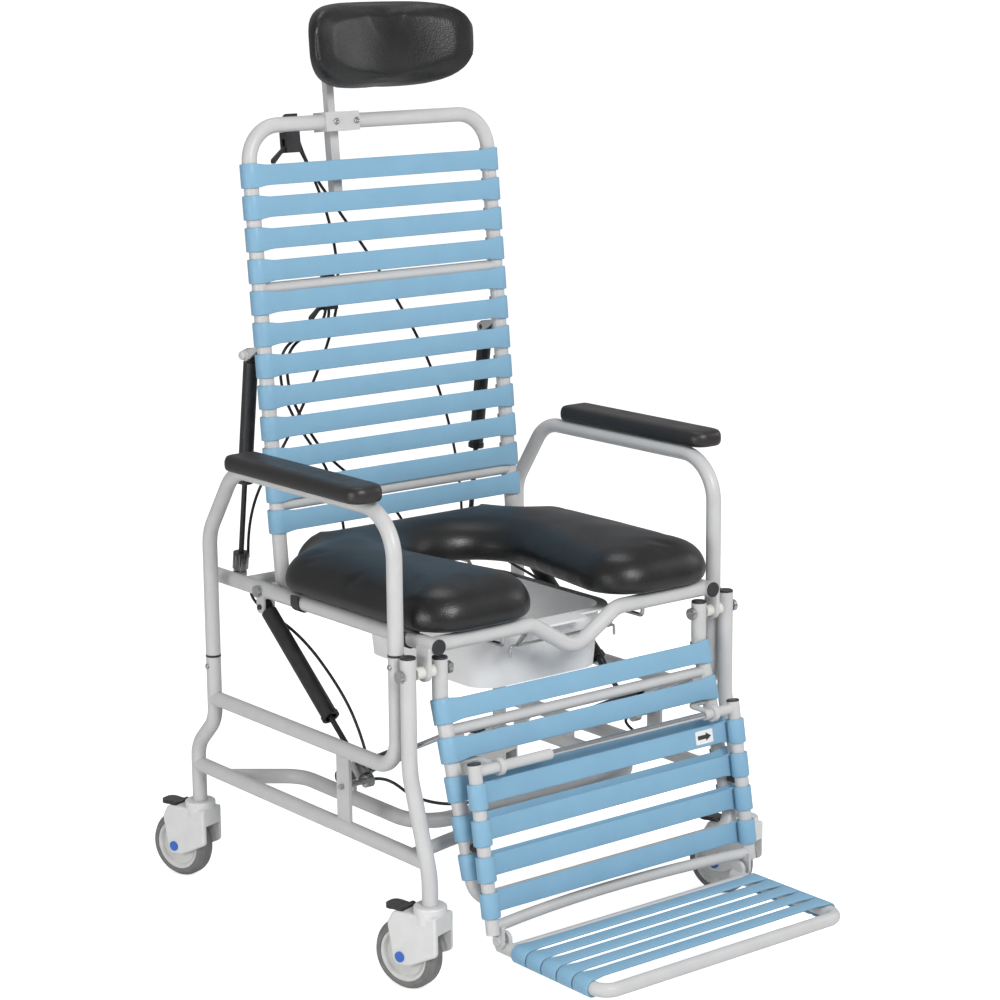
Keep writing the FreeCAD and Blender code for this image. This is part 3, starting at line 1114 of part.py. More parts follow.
def main():
    os.makedirs("parts", exist_ok=True)
    frames = [side_frame(-1), side_frame(1)]
    save("side_frame_left", frames[0])
    save("side_frame_right", frames[1])
    save("base_cross_tubes", *base_cross_tubes(frames))
    save("frame_caps", *frame_trim())
    save("pivot_bolts", *both(bolt(-LEG_X - TUBE_R, -LEGREST_X + TUBE_R + SEAT_GAP, 0, PIVOT_Z, BOLT_D)))
    arms = both(arm())
    pads = both(arm_pad())
    buttons = arm_buttons()
    for i, name in enumerate(("left", "right")):
        save("arm_frame_" + name, arms[i])
        save("arm_pad_" + name, pads[i])
        save("arm_buttons_" + name, *[both(button)[i] for button in buttons])
    seat = seat_frame()
    save("seat_frame", seat)
    save("seat_end_caps", *seat_end_caps())
    save("seat_cushion", seat_cushion())
    clips = [cushion_clip(y) for y in CLIP_Y]
    save("cushion_clips", *(clips + [mirrored(clip) for clip in clips]))
    save("pan_rack", *pan_rack(seat))
    save("commode_pan", commode_pan())
    back_bolt = bolt(-SEAT_X - TUBE_R, -BACK_X + TUBE_R + SEAT_GAP, BACK_Y, SEAT_Z, BOLT_D)
    save("back_pivot_bolts", *both(back_bolt))
    spacer_d = BOLT_D + 2 * RUN_GAP
    spacers = []
    for x1, x2, y, z in ((-LEG_X + TUBE_R + SEAT_GAP, -LUG_X - PLATE_T / 2, 0, PIVOT_Z),
                         (-LUG_X + PLATE_T / 2, -LEGREST_X - TUBE_R - SEAT_GAP, 0, PIVOT_Z),
                         (-SEAT_X + TUBE_R, -BACK_X - TUBE_R - SEAT_GAP, BACK_Y, SEAT_Z)):
        spacers += both(x_pin(x1, x2, y, z, HEAD_D).cut(x_pin(x1, x2, y, z, spacer_d)))
    save("pivot_bushings", *spacers)
    save("back_frame", back_frame())
    save("back_straps", *back_straps())
    save("headrest_clamp", headrest_clamp())
    save("headrest_post", headrest_post())
    save("headrest_cushion", headrest_cushion())
    save("lever_mounts", lever_mount(LEVER_X, BACK_TOP, TUBE_D),
         lever_mount(TILT_LEVER_X, BACK_BAR_HIGH, SLIM_TUBE_D))
    save("recline_lever", hand_lever(LEVER_X, BACK_TOP, TUBE_D))
    save("tilt_lever", hand_lever(TILT_LEVER_X, BACK_BAR_HIGH, SLIM_TUBE_D))
    for name, spring in (("recline", recline_spring()), ("tilt", tilt_spring()), ("leg", leg_spring())):
        save(name + "_spring_barrels", *both(spring[0]))
        save(name + "_spring_rods", *both(spring[1]))
    save("recline_cables", *recline_cables())
    save("tilt_cables", *tilt_cables())
    save("lower_cables", *lower_cables())
    save("legrest_frame", legrest_frame())
    save("legrest_straps", *legrest_straps())
    save("legrest_caps", *both(end_cap(at(-LEGREST_X, 0, LEGREST_TOP_Z), UP, TUBE_D)))
    panel = panel_frame()
    save("panel_frame", panel)
    save("latch_sleeve", *latch_sleeve(panel))
    save("latch_rod", x_pin(-LATCH_END_X, LATCH_END_X, LATCH_Y, LATCH_Z, LATCH_D))
    save("panel_straps", *panel_straps())
    cap = on_panel(end_cap(at(-LEGREST_X, 0, 0), UP, SLIM_TUBE_D))
    save("panel_caps", *(both(cap) + both(panel_stop().cut(panel))))
    save("foot_frame", foot_frame())
    save("foot_straps", *foot_straps())
    housing = caster_housing()
    wheel = caster_wheel()
    pedal = caster_pedal()
    for name, x, y in (("front_left", -LEG_X, FRONT_STEM_Y), ("front_right", LEG_X, FRONT_STEM_Y),
                       ("rear_left", -LEG_X, REAR_STEM_Y), ("rear_right", LEG_X, REAR_STEM_Y)):
        save("caster_" + name, *[set_caster(piece, x, y) for piece in housing])
        save("wheel_" + name, *[set_caster(piece, x, y) for piece in wheel])
        save("pedal_" + name, set_caster(pedal, x, y))


main()
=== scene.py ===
# %% [markdown]
# # A tilting shower commode chair, dressed for its studio picture
# The solid model is loaded first as a fixed frame. Everything below adds finishes, soft pieces and small
# fittings to it. All lengths are metres, +Z is up, and the chair faces -Y.

# %% Load the frame
import bpy
import bmesh
import json
import math
import random
from mathutils import Matrix, Vector


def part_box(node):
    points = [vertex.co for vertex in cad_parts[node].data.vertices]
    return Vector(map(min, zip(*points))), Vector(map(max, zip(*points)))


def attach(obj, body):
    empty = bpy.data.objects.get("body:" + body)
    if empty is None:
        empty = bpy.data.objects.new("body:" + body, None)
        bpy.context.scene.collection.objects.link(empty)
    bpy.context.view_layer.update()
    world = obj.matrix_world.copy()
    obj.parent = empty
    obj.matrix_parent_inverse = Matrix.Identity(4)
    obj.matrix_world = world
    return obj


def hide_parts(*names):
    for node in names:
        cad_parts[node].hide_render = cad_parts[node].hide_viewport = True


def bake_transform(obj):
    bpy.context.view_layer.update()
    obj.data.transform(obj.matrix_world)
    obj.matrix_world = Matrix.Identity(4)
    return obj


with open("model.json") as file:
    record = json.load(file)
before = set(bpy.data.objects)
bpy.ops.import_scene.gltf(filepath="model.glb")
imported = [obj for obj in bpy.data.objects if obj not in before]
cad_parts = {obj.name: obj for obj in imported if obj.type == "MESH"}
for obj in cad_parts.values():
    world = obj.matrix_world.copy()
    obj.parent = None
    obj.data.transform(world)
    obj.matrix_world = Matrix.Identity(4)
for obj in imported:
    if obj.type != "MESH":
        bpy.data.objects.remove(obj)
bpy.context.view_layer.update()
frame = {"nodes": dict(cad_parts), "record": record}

random.seed(7)
nodes = frame["nodes"]

# %% [markdown]
# ## Camera
# The photograph was taken with a long lens from the chair's right front. Its place was worked out from tube
# directions and wheel sizes. A camera matrix needs three axes: right, up and back, where back points from the
# subject to the lens. A small roll levels the chair the way the photograph shows it.

# %% Camera
view_turn, view_rise, view_roll = math.radians(-38.23), math.radians(11.94), math.radians(-0.51)
back_axis = Vector((math.sin(view_turn) * math.cos(view_rise), -math.cos(view_turn) * math.cos(view_rise),
                    math.sin(view_rise)))
right_axis = Vector((math.cos(view_turn), math.sin(view_turn), 0))
up_axis = back_axis.cross(right_axis)
rolled_right = right_axis * math.cos(view_roll) + up_axis * math.sin(view_roll)
rolled_up = up_axis * math.cos(view_roll) - right_axis * math.sin(view_roll)
camera_data = bpy.data.cameras.new("studio_camera")
camera_data.lens = 94.75
camera_data.sensor_width = 36
camera = bpy.data.objects.new("studio_camera", camera_data)
bpy.context.collection.objects.link(camera)
camera.matrix_world = Matrix((
    (rolled_right.x, rolled_up.x, back_axis.x, -2.28659),
    (rolled_right.y, rolled_up.y, back_axis.y, -2.88598),
    (rolled_right.z, rolled_up.z, back_axis.z, 1.38953),
    (0, 0, 0, 1)))
bpy.context.scene.camera = camera
print("camera at", [round(v, 3) for v in camera.location])

# %% [markdown]
# ## Floor and light
# The picture was made in a white studio: a pale floor that runs out of sight, a broad key light at the left
# front, softer lights at the right and low at the left, a weak one above, and a pale surrounding that every
# glossy surface reflects.

# %% Floor and light
floor_mesh = bpy.data.meshes.new("studio_floor")
reach = 80
floor_corners = [(-reach, -reach, 0), (reach, -reach, 0), (reach, reach, 0), (-reach, reach, 0)]
floor_mesh.from_pydata(floor_corners, [], [(0, 1, 2, 3)])
floor = bpy.data.objects.new("studio_floor", floor_mesh)
bpy.context.collection.objects.link(floor)


def area_light(name, place, aim, size, watts):
    data = bpy.data.lights.new(name, "AREA")
    data.shape = "DISK"
    data.size = size
    data.energy = watts
    lamp = bpy.data.objects.new(name, data)
    bpy.context.collection.objects.link(lamp)
    lamp.location = place
    lamp.rotation_euler = (Vector(aim) - Vector(place)).to_track_quat("-Z", "Y").to_euler()


area_light("key_light", (-0.7, -3.2, 2.7), (0, 0.1, 1.0), 1.6, 98)
area_light("fill_light", (2.8, -1.2, 1.8), (0, 0, 0.6), 1.6, 14)
area_light("side_light", (-3.4, -0.6, 0.9), (0, 0.1, 0.3), 1.4, 34)
area_light("top_light", (0.3, 0.6, 3.6), (0, 0.1, 0.5), 1.6, 16)
world = bpy.data.worlds.new("pale_studio")
bpy.context.scene.world = world
world.use_nodes = True
world.node_tree.nodes["Background"].inputs["Color"].default_value = (0.94, 0.95, 0.97, 1)
world.node_tree.nodes["Background"].inputs["Strength"].default_value = 0.42
bpy.context.scene.view_settings.view_transform = "Standard"

# %% [markdown]
# ## Shared surface effects
# Four effects come back in most finishes, so each is a node group made once: fine mottling, wear along edges,
# dust on upward faces, and a pebbled grain. The edge mask compares the true normal with one that a Bevel node
# has rounded, which differ only close to an edge.

# %% Node group helpers


def new_group(name, inputs, outputs):
    group = bpy.data.node_groups.new(name, "ShaderNodeTree")
    for label, kind, value in inputs:
        socket = group.interface.new_socket(name=label, in_out="INPUT", socket_type=kind)
        socket.default_value = value
    for label, kind in outputs:
        group.interface.new_socket(name=label, in_out="OUTPUT", socket_type=kind)
    start = group.nodes.new("NodeGroupInput")
    end = group.nodes.new("NodeGroupOutput")
    return group, start.outputs, end.inputs


def add(tree, kind, settings=None, **links):
    """A node with settings, and links given by input name with spaces as underscores."""
    node = tree.nodes.new(kind)
    for key, value in (settings or {}).items():
        setattr(node, key, value)
    for key, source in links.items():
        slot = int(key[1:]) if key[0] == "i" and key[1:].isdigit() else key.replace("_", " ")
        if isinstance(source, (int, float, tuple)):
            node.inputs[slot].default_value = source
        else:
            tree.links.new(source, node.inputs[slot])
    return node


def spread(tree, source, low, high, to_low=0.0, to_high=1.0):
    node = add(tree, "ShaderNodeMapRange", Value=source)
    for label, value in (("From Min", low), ("From Max", high), ("To Min", to_low), ("To Max", to_high)):
        node.inputs[label].default_value = value
    return node.outputs["Result"]


# %% Mottle, edge wear, dust and pebble groups
mottle, given, out = new_group("surface_mottle", [("Scale", "NodeSocketFloat", 40.0)],
                               [("Mask", "NodeSocketFloat"), ("Height", "NodeSocketFloat")])
place = add(mottle, "ShaderNodeTexCoord").outputs["Object"]
coarse = add(mottle, "ShaderNodeTexNoise", Vector=place, Scale=given["Scale"], Detail=4.0)
double = add(mottle, "ShaderNodeMath", {"operation": "MULTIPLY"}, i0=given["Scale"], i1=22.0)
fine = add(mottle, "ShaderNodeTexNoise", Vector=place, Scale=double.outputs[0], Detail=2.0)
mottle.links.new(spread(mottle, coarse.outputs["Fac"], 0.3, 0.7), out["Mask"])
mottle.links.new(fine.outputs["Fac"], out["Height"])

wear, given, out = new_group("edge_wear", [("Radius", "NodeSocketFloat", 0.0012)],
                             [("Mask", "NodeSocketFloat")])
rounded = add(wear, "ShaderNodeBevel", {"samples": 4}, Radius=given["Radius"])
true = add(wear, "ShaderNodeNewGeometry")
match = add(wear, "ShaderNodeVectorMath", {"operation": "DOT_PRODUCT"}, i0=rounded.outputs[0],
            i1=true.outputs["Normal"])
place = add(wear, "ShaderNodeTexCoord").outputs["Object"]
patch = add(wear, "ShaderNodeTexNoise", Vector=place, Scale=90.0, Detail=3.0)
edge = spread(wear, match.outputs["Value"], 0.995, 0.9)
broken = spread(wear, patch.outputs["Fac"], 0.42, 0.62)
worn_mask = add(wear, "ShaderNodeMath", {"operation": "MULTIPLY"}, i0=edge, i1=broken)
wear.links.new(worn_mask.outputs[0], out["Mask"])

dust, given, out = new_group("settled_dust", [("Scale", "NodeSocketFloat", 14.0)],
                             [("Mask", "NodeSocketFloat")])
normal = add(dust, "ShaderNodeNewGeometry").outputs["Normal"]
height = add(dust, "ShaderNodeSeparateXYZ", Vector=normal).outputs["Z"]
place = add(dust, "ShaderNodeTexCoord").outputs["Object"]
cloud = add(dust, "ShaderNodeTexNoise", Vector=place, Scale=given["Scale"], Detail=6.0)
upward = spread(dust, height, 0.3, 1.0)
patches = spread(dust, cloud.outputs["Fac"], 0.35, 0.75)
dust_mask = add(dust, "ShaderNodeMath", {"operation": "MULTIPLY"}, i0=upward, i1=patches)
dust.links.new(dust_mask.outputs[0], out["Mask"])

pebble, given, out = new_group("pebble_grain", [("Scale", "NodeSocketFloat", 420.0)],
                               [("Height", "NodeSocketFloat"), ("Mask", "NodeSocketFloat")])
place = add(pebble, "ShaderNodeTexCoord").outputs["Object"]
swirl = add(pebble, "ShaderNodeTexNoise", Vector=place, Scale=60.0, Detail=2.0)
bent = add(pebble, "ShaderNodeMixRGB", {"blend_type": "LINEAR_LIGHT"}, Fac=0.004, Color1=place,
           Color2=swirl.outputs["Color"])
cells = add(pebble, "ShaderNodeTexVoronoi", {"feature": "SMOOTH_F1"}, Vector=bent.outputs[0],
            Scale=given["Scale"])
broad = add(pebble, "ShaderNodeTexNoise", Vector=place, Scale=9.0, Detail=3.0)
pebble.links.new(spread(pebble, cells.outputs["Distance"], 0.0, 0.6), out["Height"])
pebble.links.new(spread(pebble, broad.outputs["Fac"], 0.35, 0.65), out["Mask"])
print("groups:", [g.name for g in bpy.data.node_groups])

# %% [markdown]
# ## Finishes
# One function makes a finish from a base colour, a second colour for the mottling, worn edges, dust and a
# fine bump. Metals, vinyl and plastics differ only in the numbers they pass, so all belong together.

# %% Finish function


def finish(name, colour, second, roughness, mottle_scale=40.0, rough_swing=0.08, bump=0.02,
           grain="surface_mottle", grain_scale=None, worn=None, worn_share=0.5,
           dust_share=0.06, metallic=0.0, coat=0.0, sheen=0.0,
           specular=0.5, bump_depth=0.0004, transmission=0.0, ior=1.5):
    material = bpy.data.materials.new(name)
    material.use_nodes = True
    tree = material.node_tree
    groups = bpy.data.node_groups
    shader = tree.nodes["Principled BSDF"]
    spots = add(tree, "ShaderNodeGroup", {"node_tree": groups["surface_mottle"]}, Scale=mottle_scale)
    mixed = add(tree, "ShaderNodeMixRGB", Fac=spots.outputs["Mask"], Color1=colour + (1,),
                Color2=second + (1,))
    surface = mixed.outputs[0]
    if worn is not None:
        edges = add(tree, "ShaderNodeGroup", {"node_tree": groups["edge_wear"]})
        share = add(tree, "ShaderNodeMath", {"operation": "MULTIPLY"}, i0=edges.outputs["Mask"],
                    i1=worn_share)
        mixed = add(tree, "ShaderNodeMixRGB", Fac=share.outputs[0], Color1=surface, Color2=worn + (1,))
        surface = mixed.outputs[0]
    film = add(tree, "ShaderNodeGroup", {"node_tree": groups["settled_dust"]})
    share = add(tree, "ShaderNodeMath", {"operation": "MULTIPLY"}, i0=film.outputs["Mask"], i1=dust_share)
    dusty = add(tree, "ShaderNodeMixRGB", Fac=share.outputs[0], Color1=surface, Color2=(0.62, 0.6, 0.57, 1))
    tree.links.new(dusty.outputs[0], shader.inputs["Base Color"])
    gloss = spread(tree, spots.outputs["Mask"], 0, 1, roughness - rough_swing, roughness + rough_swing)
    tree.links.new(gloss, shader.inputs["Roughness"])
    height = spots.outputs["Height"]
    if grain == "pebble_grain":
        hide = add(tree, "ShaderNodeGroup", {"node_tree": groups["pebble_grain"]}, Scale=grain_scale)
        height = hide.outputs["Height"]
    relief = add(tree, "ShaderNodeBump", Strength=bump, Distance=bump_depth, Height=height)
    tree.links.new(relief.outputs["Normal"], shader.inputs["Normal"])
    shader.inputs["Metallic"].default_value = metallic
    shader.inputs["Coat Weight"].default_value = coat
    shader.inputs["Coat Roughness"].default_value = 0.18
    shader.inputs["Sheen Weight"].default_value = sheen
    shader.inputs["Specular IOR Level"].default_value = specular
    shader.inputs["Transmission Weight"].default_value = transmission
    shader.inputs["IOR"].default_value = ior
    return material


# %% Finishes of the chair
looks = {
    "white_tube": finish("white_powder_coat", (0.55, 0.548, 0.545), (0.515, 0.512, 0.51), 0.34, 30, 0.05,
                         0.06, worn=(0.5, 0.5, 0.5), worn_share=0.2, specular=0.4),
    "blue_vinyl": finish("blue_vinyl_band", (0.225, 0.41, 0.56), (0.21, 0.385, 0.53), 0.36, 26, 0.05, 0.08,
                         worn=(0.34, 0.5, 0.66), worn_share=0.35, coat=0.0, dust_share=0.02, specular=0.18),
    "black_vinyl": finish("black_grained_vinyl", (0.006, 0.006, 0.0065), (0.01, 0.01, 0.0105), 0.36, 18, 0.05,
                          0.34, grain="pebble_grain", grain_scale=430.0, dust_share=0.006, specular=0.48),
    "pad_foam": finish("self_skinned_foam", (0.013, 0.011, 0.0105), (0.018, 0.015, 0.014), 0.4, 30, 0.06, 0.2,
                       grain="pebble_grain", grain_scale=700.0, dust_share=0.01),
    "black_plastic": finish("black_moulding", (0.014, 0.014, 0.015), (0.022, 0.022, 0.023), 0.42, 50, 0.08,
                            0.1, worn=(0.07, 0.07, 0.072), worn_share=0.6),
    "zinc": finish("zinc_plate", (0.5, 0.5, 0.5), (0.4, 0.39, 0.37), 0.34, 120, 0.12, 0.12, metallic=1.0,
                   worn=(0.75, 0.75, 0.76)),
    "bushing_plastic": finish("natural_nylon", (0.72, 0.71, 0.66), (0.66, 0.65, 0.6), 0.38, 60, 0.06, 0.06),
    "pan_plastic": finish("milky_pan", (0.93, 0.925, 0.92), (0.9, 0.895, 0.89), 0.3, 20, 0.05, 0.05),
    "black_paint": finish("black_spring_paint", (0.012, 0.012, 0.013), (0.018, 0.018, 0.019), 0.4, 60, 0.08,
                          0.08, worn=(0.1, 0.1, 0.1)),
    "arrow_ink": finish("arrow_ink", (0.03, 0.022, 0.02), (0.04, 0.03, 0.028), 0.5, 80, 0.06, 0.05),
    "sticker_white": finish("sticker_film", (0.8, 0.8, 0.79), (0.77, 0.77, 0.76), 0.42, 60, 0.05, 0.04),
    "chrome_rod": finish("bright_chrome", (0.62, 0.63, 0.65), (0.55, 0.56, 0.58), 0.12, 60, 0.04, 0.02,
                         metallic=1.0),
    "cable_sheath": finish("cable_sheath", (0.01, 0.01, 0.01), (0.016, 0.016, 0.016), 0.42, 90, 0.06, 0.08),
    "caster_plastic": finish("caster_nylon", (0.66, 0.66, 0.65), (0.61, 0.61, 0.6), 0.36, 50, 0.06, 0.08,
                             worn=(0.78, 0.78, 0.77)),
    "tyre_grey": finish("grey_tread", (0.17, 0.168, 0.165), (0.14, 0.138, 0.135), 0.5, 70, 0.08, 0.16,
                        dust_share=0.12),
    "hub_blue": finish("blue_hub_cap", (0.03, 0.13, 0.5), (0.025, 0.11, 0.44), 0.3, 60, 0.05, 0.04),
    "rim_white": finish("wheel_rim_nylon", (0.62, 0.62, 0.6), (0.56, 0.56, 0.54), 0.4, 60, 0.06, 0.08),
    "floor": finish("pale_floor", (0.9, 0.9, 0.9), (0.88, 0.88, 0.885), 0.5, 2, 0.03, 0.0, dust_share=0.0),
}
looks["floor"].node_tree.nodes["Principled BSDF"].inputs["Emission Color"].default_value = (1, 1, 1, 1)
floor_glow = 0.72
floor_tree = looks["floor"].node_tree
seen = add(floor_tree, "ShaderNodeLightPath").outputs["Is Camera Ray"]
glow = add(floor_tree, "ShaderNodeMath", {"operation": "MULTIPLY"}, i0=seen, i1=floor_glow)
floor_tree.links.new(glow.outputs[0], floor_tree.nodes["Principled BSDF"].inputs["Emission Strength"])
floor_mesh.materials.append(looks["floor"])
print("finishes:", len(looks))

# %% [markdown]
# ## Finishes on the solid nodes
# Each node carries the slot it was given in the record, so its finish is looked up by that slot. Wheels,
# casters and spring rods are made of several materials in one node, so their faces are sorted by where they
# lie: near the axle line, outside the fork, or at the foot of the rod.

# %% Dress the nodes
slot_of = {entry["node"]: entry["material_slot"] for entry in frame["record"]["subparts"]}


def dress(name, look):
    mesh = nodes[name].data
    mesh.materials.clear()
    mesh.materials.append(looks[look])
    return mesh


for name in nodes:
    dress(name, slot_of[name])
print("dressed", len(nodes), "nodes")

# %% Wheels, hub caps and spring heads
caster_turn = math.radians(18)
caster_trail, wheel_r, rim_r, cap_r, fork_half_w = 0.036, 0.05, 0.0379, 0.0085, 0.0221
spring_head = 0.03
origin_y = 0.1486
stems = {"front_left": (-0.289, -0.042), "front_right": (0.289, -0.042), "rear_left": (-0.289, 0.539),
         "rear_right": (0.289, 0.539)}
for corner, (stem_x, stem_y) in stems.items():
    across = Vector((math.cos(caster_turn), math.sin(caster_turn), 0))
    along = Vector((-math.sin(caster_turn), math.cos(caster_turn), 0))
    hub = Vector((stem_x, stem_y - origin_y, wheel_r)) + along * caster_trail
    wheel = dress("wheel_" + corner, "tyre_grey")
    wheel.materials.append(looks["rim_white"])
    for face in wheel.polygons:
        offset = face.center - hub
        flat = offset - across * offset.dot(across)
        face.material_index = 1 if flat.length < rim_r else 0
    fork = dress("caster_" + corner, "caster_plastic")
    fork.materials.append(looks["hub_blue"])
    for face in fork.polygons:
        offset = face.center - hub
        flat = offset - across * offset.dot(across)
        face.material_index = 1 if abs(offset.dot(across)) > fork_half_w and flat.length < cap_r else 0
for name in ("tilt_spring_rods", "recline_spring_rods"):
    rods = dress(name, "black_paint")
    rods.materials.append(looks["zinc"])
    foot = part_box(name)[0][2]
    for face in rods.polygons:
        face.material_index = 1 if face.center.z < foot + spring_head else 0
print("wheels sorted into tyre and rim, rods into rod and head")

# %% [markdown]
# ## Places on the leaned parts
# The back, the leg rest and the foot panel each lean by their own angle about a line across the chair. A
# helper for each turns a place counted across, behind and up that part into a place on the chair.

# %% Places on the leaned parts


def leaned(base_y, base_z, degrees):
    turn = math.radians(degrees)

    def place(across, behind, height):
        return Vector((across, base_y - origin_y + behind * math.cos(turn) + height * math.sin(turn),
                       base_z - behind * math.sin(turn) + height * math.cos(turn)))

    return place


def on_chair(across, rearward, up):
    """A point counted rearward from the front pivot line, in metres."""
    return Vector((across, rearward - origin_y, up))


on_back = leaned(0.405, 0.47, 5.5)
on_legrest = leaned(0, 0.395, 15.7)
on_panel = leaned(-0.0735, 0.3175, 9.5)
print("top of the back at", [round(v, 3) for v in on_back(0, 0, 0.669)])

# %% [markdown]
# ## Vinyl bands
# A tight vinyl band is one moulded strip. It starts behind a tube, turns round its outer side, crosses to the
# other tube with a slightly narrower span, and turns behind that one. Cloth would wrinkle it, so the strip is
# drawn directly: a rounded section is carried along the path, and its width changes on the way.

# %% Band mesh
vinyl_t = 0.0034
edge_r = 0.0014


def band_stations(half, radius, width, span_width, wrap, flare=0.024):
    """Points of the strip's middle line as (across, behind, normal across, normal behind, width)."""
    turns = [math.radians(wrap - wrap * i / 16) for i in range(17)]
    line = []
    for t in turns:
        line.append((-half - radius * math.sin(t), -radius * math.cos(t), -math.sin(t), -math.cos(t), width))
    for share in (0.006, 0.02, 0.035, 0.05, 0.065, 0.2, 0.5, 0.8, 0.935, 0.95, 0.965, 0.98, 0.994):
        across = half * (2 * share - 1)
        near = min(1.0, (half - abs(across)) / flare)
        ease = near * near * (3 - 2 * near)
        line.append((across, -radius, 0.0, -1.0, width + (span_width - width) * ease))
    return line + [(-x, y, -nx, ny, w) for x, y, nx, ny, w in line[16::-1]]


def add_band(shell, stations, place):
    rings = []
    for across, behind, out_x, out_y, width in stations:
        ring = []
        for corner, (side, level) in enumerate(((1, 1), (-1, 1), (-1, -1), (1, -1))):
            for step in range(3):
                turn = math.radians(90 * corner + 45 * step)
                out = side * (vinyl_t / 2 - edge_r) + edge_r * math.cos(turn)
                rise = level * (width / 2 - edge_r) + edge_r * math.sin(turn)
                ring.append(shell.verts.new(place(across + out_x * out, behind + out_y * out, rise)))
        rings.append(ring)
    count = len(rings[0])
    for low, high in zip(rings, rings[1:]):
        for i in range(count):
            shell.faces.new((low[i], low[(i + 1) % count], high[(i + 1) % count], high[i]))
    shell.faces.new(rings[0])
    shell.faces.new(rings[-1])


def bands(node, body, places, half, radius, width, span_width, wrap=205):
    shell = bmesh.new()
    stations = band_stations(half, radius + vinyl_t / 2, width, span_width, wrap)
    for place in places:
        add_band(shell, stations, place)
    bmesh.ops.recalc_face_normals(shell, faces=shell.faces)
    mesh = bpy.data.meshes.new(node + "_vinyl")
    shell.to_mesh(mesh)
    shell.free()
    for face in mesh.polygons:
        face.use_smooth = True
    mesh.materials.append(looks["blue_vinyl"])
    piece = bpy.data.objects.new(node + "_vinyl", mesh)
    bpy.context.collection.objects.link(piece)
    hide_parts(node)
    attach(piece, body)
    print(node, len(places), "bands,", len(mesh.vertices), "points")


# %% Bands of the back, leg rest, foot panel and footplate
bands("back_straps", "back", [lambda x, y, z, h=0.097 + 0.0456 * i: on_back(x, y, h + z) for i in range(12)],
      0.217, 0.0113, 0.035, 0.0295)
bands("legrest_straps", "legrest",
      [lambda x, y, z, d=0.019 + 0.053 * i: on_legrest(x, y, z - d) for i in range(5)],
      0.236, 0.0113, 0.035, 0.0295)
bands("panel_straps", "panel",
      [lambda x, y, z, d=0.043 + 0.0493 * i: on_panel(x, -y, z - d) for i in range(4)],
      0.236, 0.0098, 0.035, 0.0295, 290)
bands("foot_straps", "footplate",
      [lambda x, y, z, r=-0.1525 - 0.032 * i: on_chair(x, r + z, 0.066 - y) for i in range(5)],
      0.215, 0.0098, 0.029, 0.022)

# %% [markdown]
# ## Soft pieces by cloth simulation
# The cushions are foam under tight vinyl. Each one starts as a copy of its solid, is remeshed into an even
# grid, and is blown up a little as cloth with its underside held, so the cover crowns and rounds by itself.
# The move of each point is capped so that a cushion keeps to its place.

# %% Cloth helpers


def soft_copy(node, name, voxel, shrink=0.0, soften=6):
    source = nodes[node]
    mesh = source.data.copy()
    mesh.transform(source.matrix_world)
    mesh.materials.clear()
    piece = bpy.data.objects.new(name, mesh)
    bpy.context.collection.objects.link(piece)
    remesh = piece.modifiers.new("even_grid", "REMESH")
    remesh.mode = "VOXEL"
    remesh.voxel_size = voxel
    smooth = piece.modifiers.new("soften", "SMOOTH")
    smooth.iterations = soften
    smooth.factor = 0.5
    bake(piece)
    if shrink:
        mesh = piece.data
        normals = [v.normal.copy() for v in mesh.vertices]
        for vertex, direction in zip(mesh.vertices, normals):
            vertex.co -= direction * shrink
    return piece


def bake(piece):
    """The piece's modifiers become its own mesh."""
    bpy.context.view_layer.update()
    graph = bpy.context.evaluated_depsgraph_get()
    mesh = bpy.data.meshes.new_from_object(piece.evaluated_get(graph))
    piece.modifiers.clear()
    piece.data = mesh


def swell(piece, held, pressure, cap, frames=18):
    """Blows the piece up as cloth, with the points that held(co) names kept in place."""
    rest = [v.co.copy() for v in piece.data.vertices]
    group = piece.vertex_groups.new(name="held")
    group.add([i for i, co in enumerate(rest) if held(co)], 1.0, "REPLACE")
    cloth = piece.modifiers.new("cover", "CLOTH")
    cloth.settings.quality = 5
    cloth.settings.mass = 0.25
    cloth.settings.tension_stiffness = 20
    cloth.settings.compression_stiffness = 20
    cloth.settings.bending_stiffness = 2.0
    cloth.settings.use_pressure = True
    cloth.settings.uniform_pressure_force = pressure
    cloth.settings.vertex_group_mass = "held"
    cloth.settings.effector_weights.gravity = 0
    cloth.point_cache.frame_start = 1
    cloth.point_cache.frame_end = frames
    scene = bpy.context.scene
    for number in range(1, frames + 1):
        scene.frame_set(number)
    bake(piece)
    scene.frame_set(1)
    for vertex, start in zip(piece.data.vertices, rest):
        move = vertex.co - start
        if move.length > cap:
            vertex.co = start + move.normalized() * cap
    piece.vertex_groups.clear()


def polish(piece, look, levels=1):
    """Smooth shading, a finish, and one subdivision on a soft piece."""
    smooth = piece.modifiers.new("even_out", "SMOOTH")
    smooth.iterations = 3
    if levels:
        split = piece.modifiers.new("finer", "SUBSURF")
        split.levels = levels
        split.render_levels = levels
    bake(piece)
    for face in piece.data.polygons:
        face.use_smooth = True
    piece.data.materials.clear()
    piece.data.materials.append(looks[look])


# %% Seat cushion
seat_low, seat_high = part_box("seat_cushion")
seat_cushion = soft_copy("seat_cushion", "seat_cushion_cover", 0.006, 0.002)
swell(seat_cushion, lambda co: co.z < seat_low[2] + 0.012, 3.0, 0.006)
polish(seat_cushion, "black_vinyl")
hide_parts("seat_cushion")
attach(seat_cushion, "seat")
print("seat cushion points:", len(seat_cushion.data.vertices))

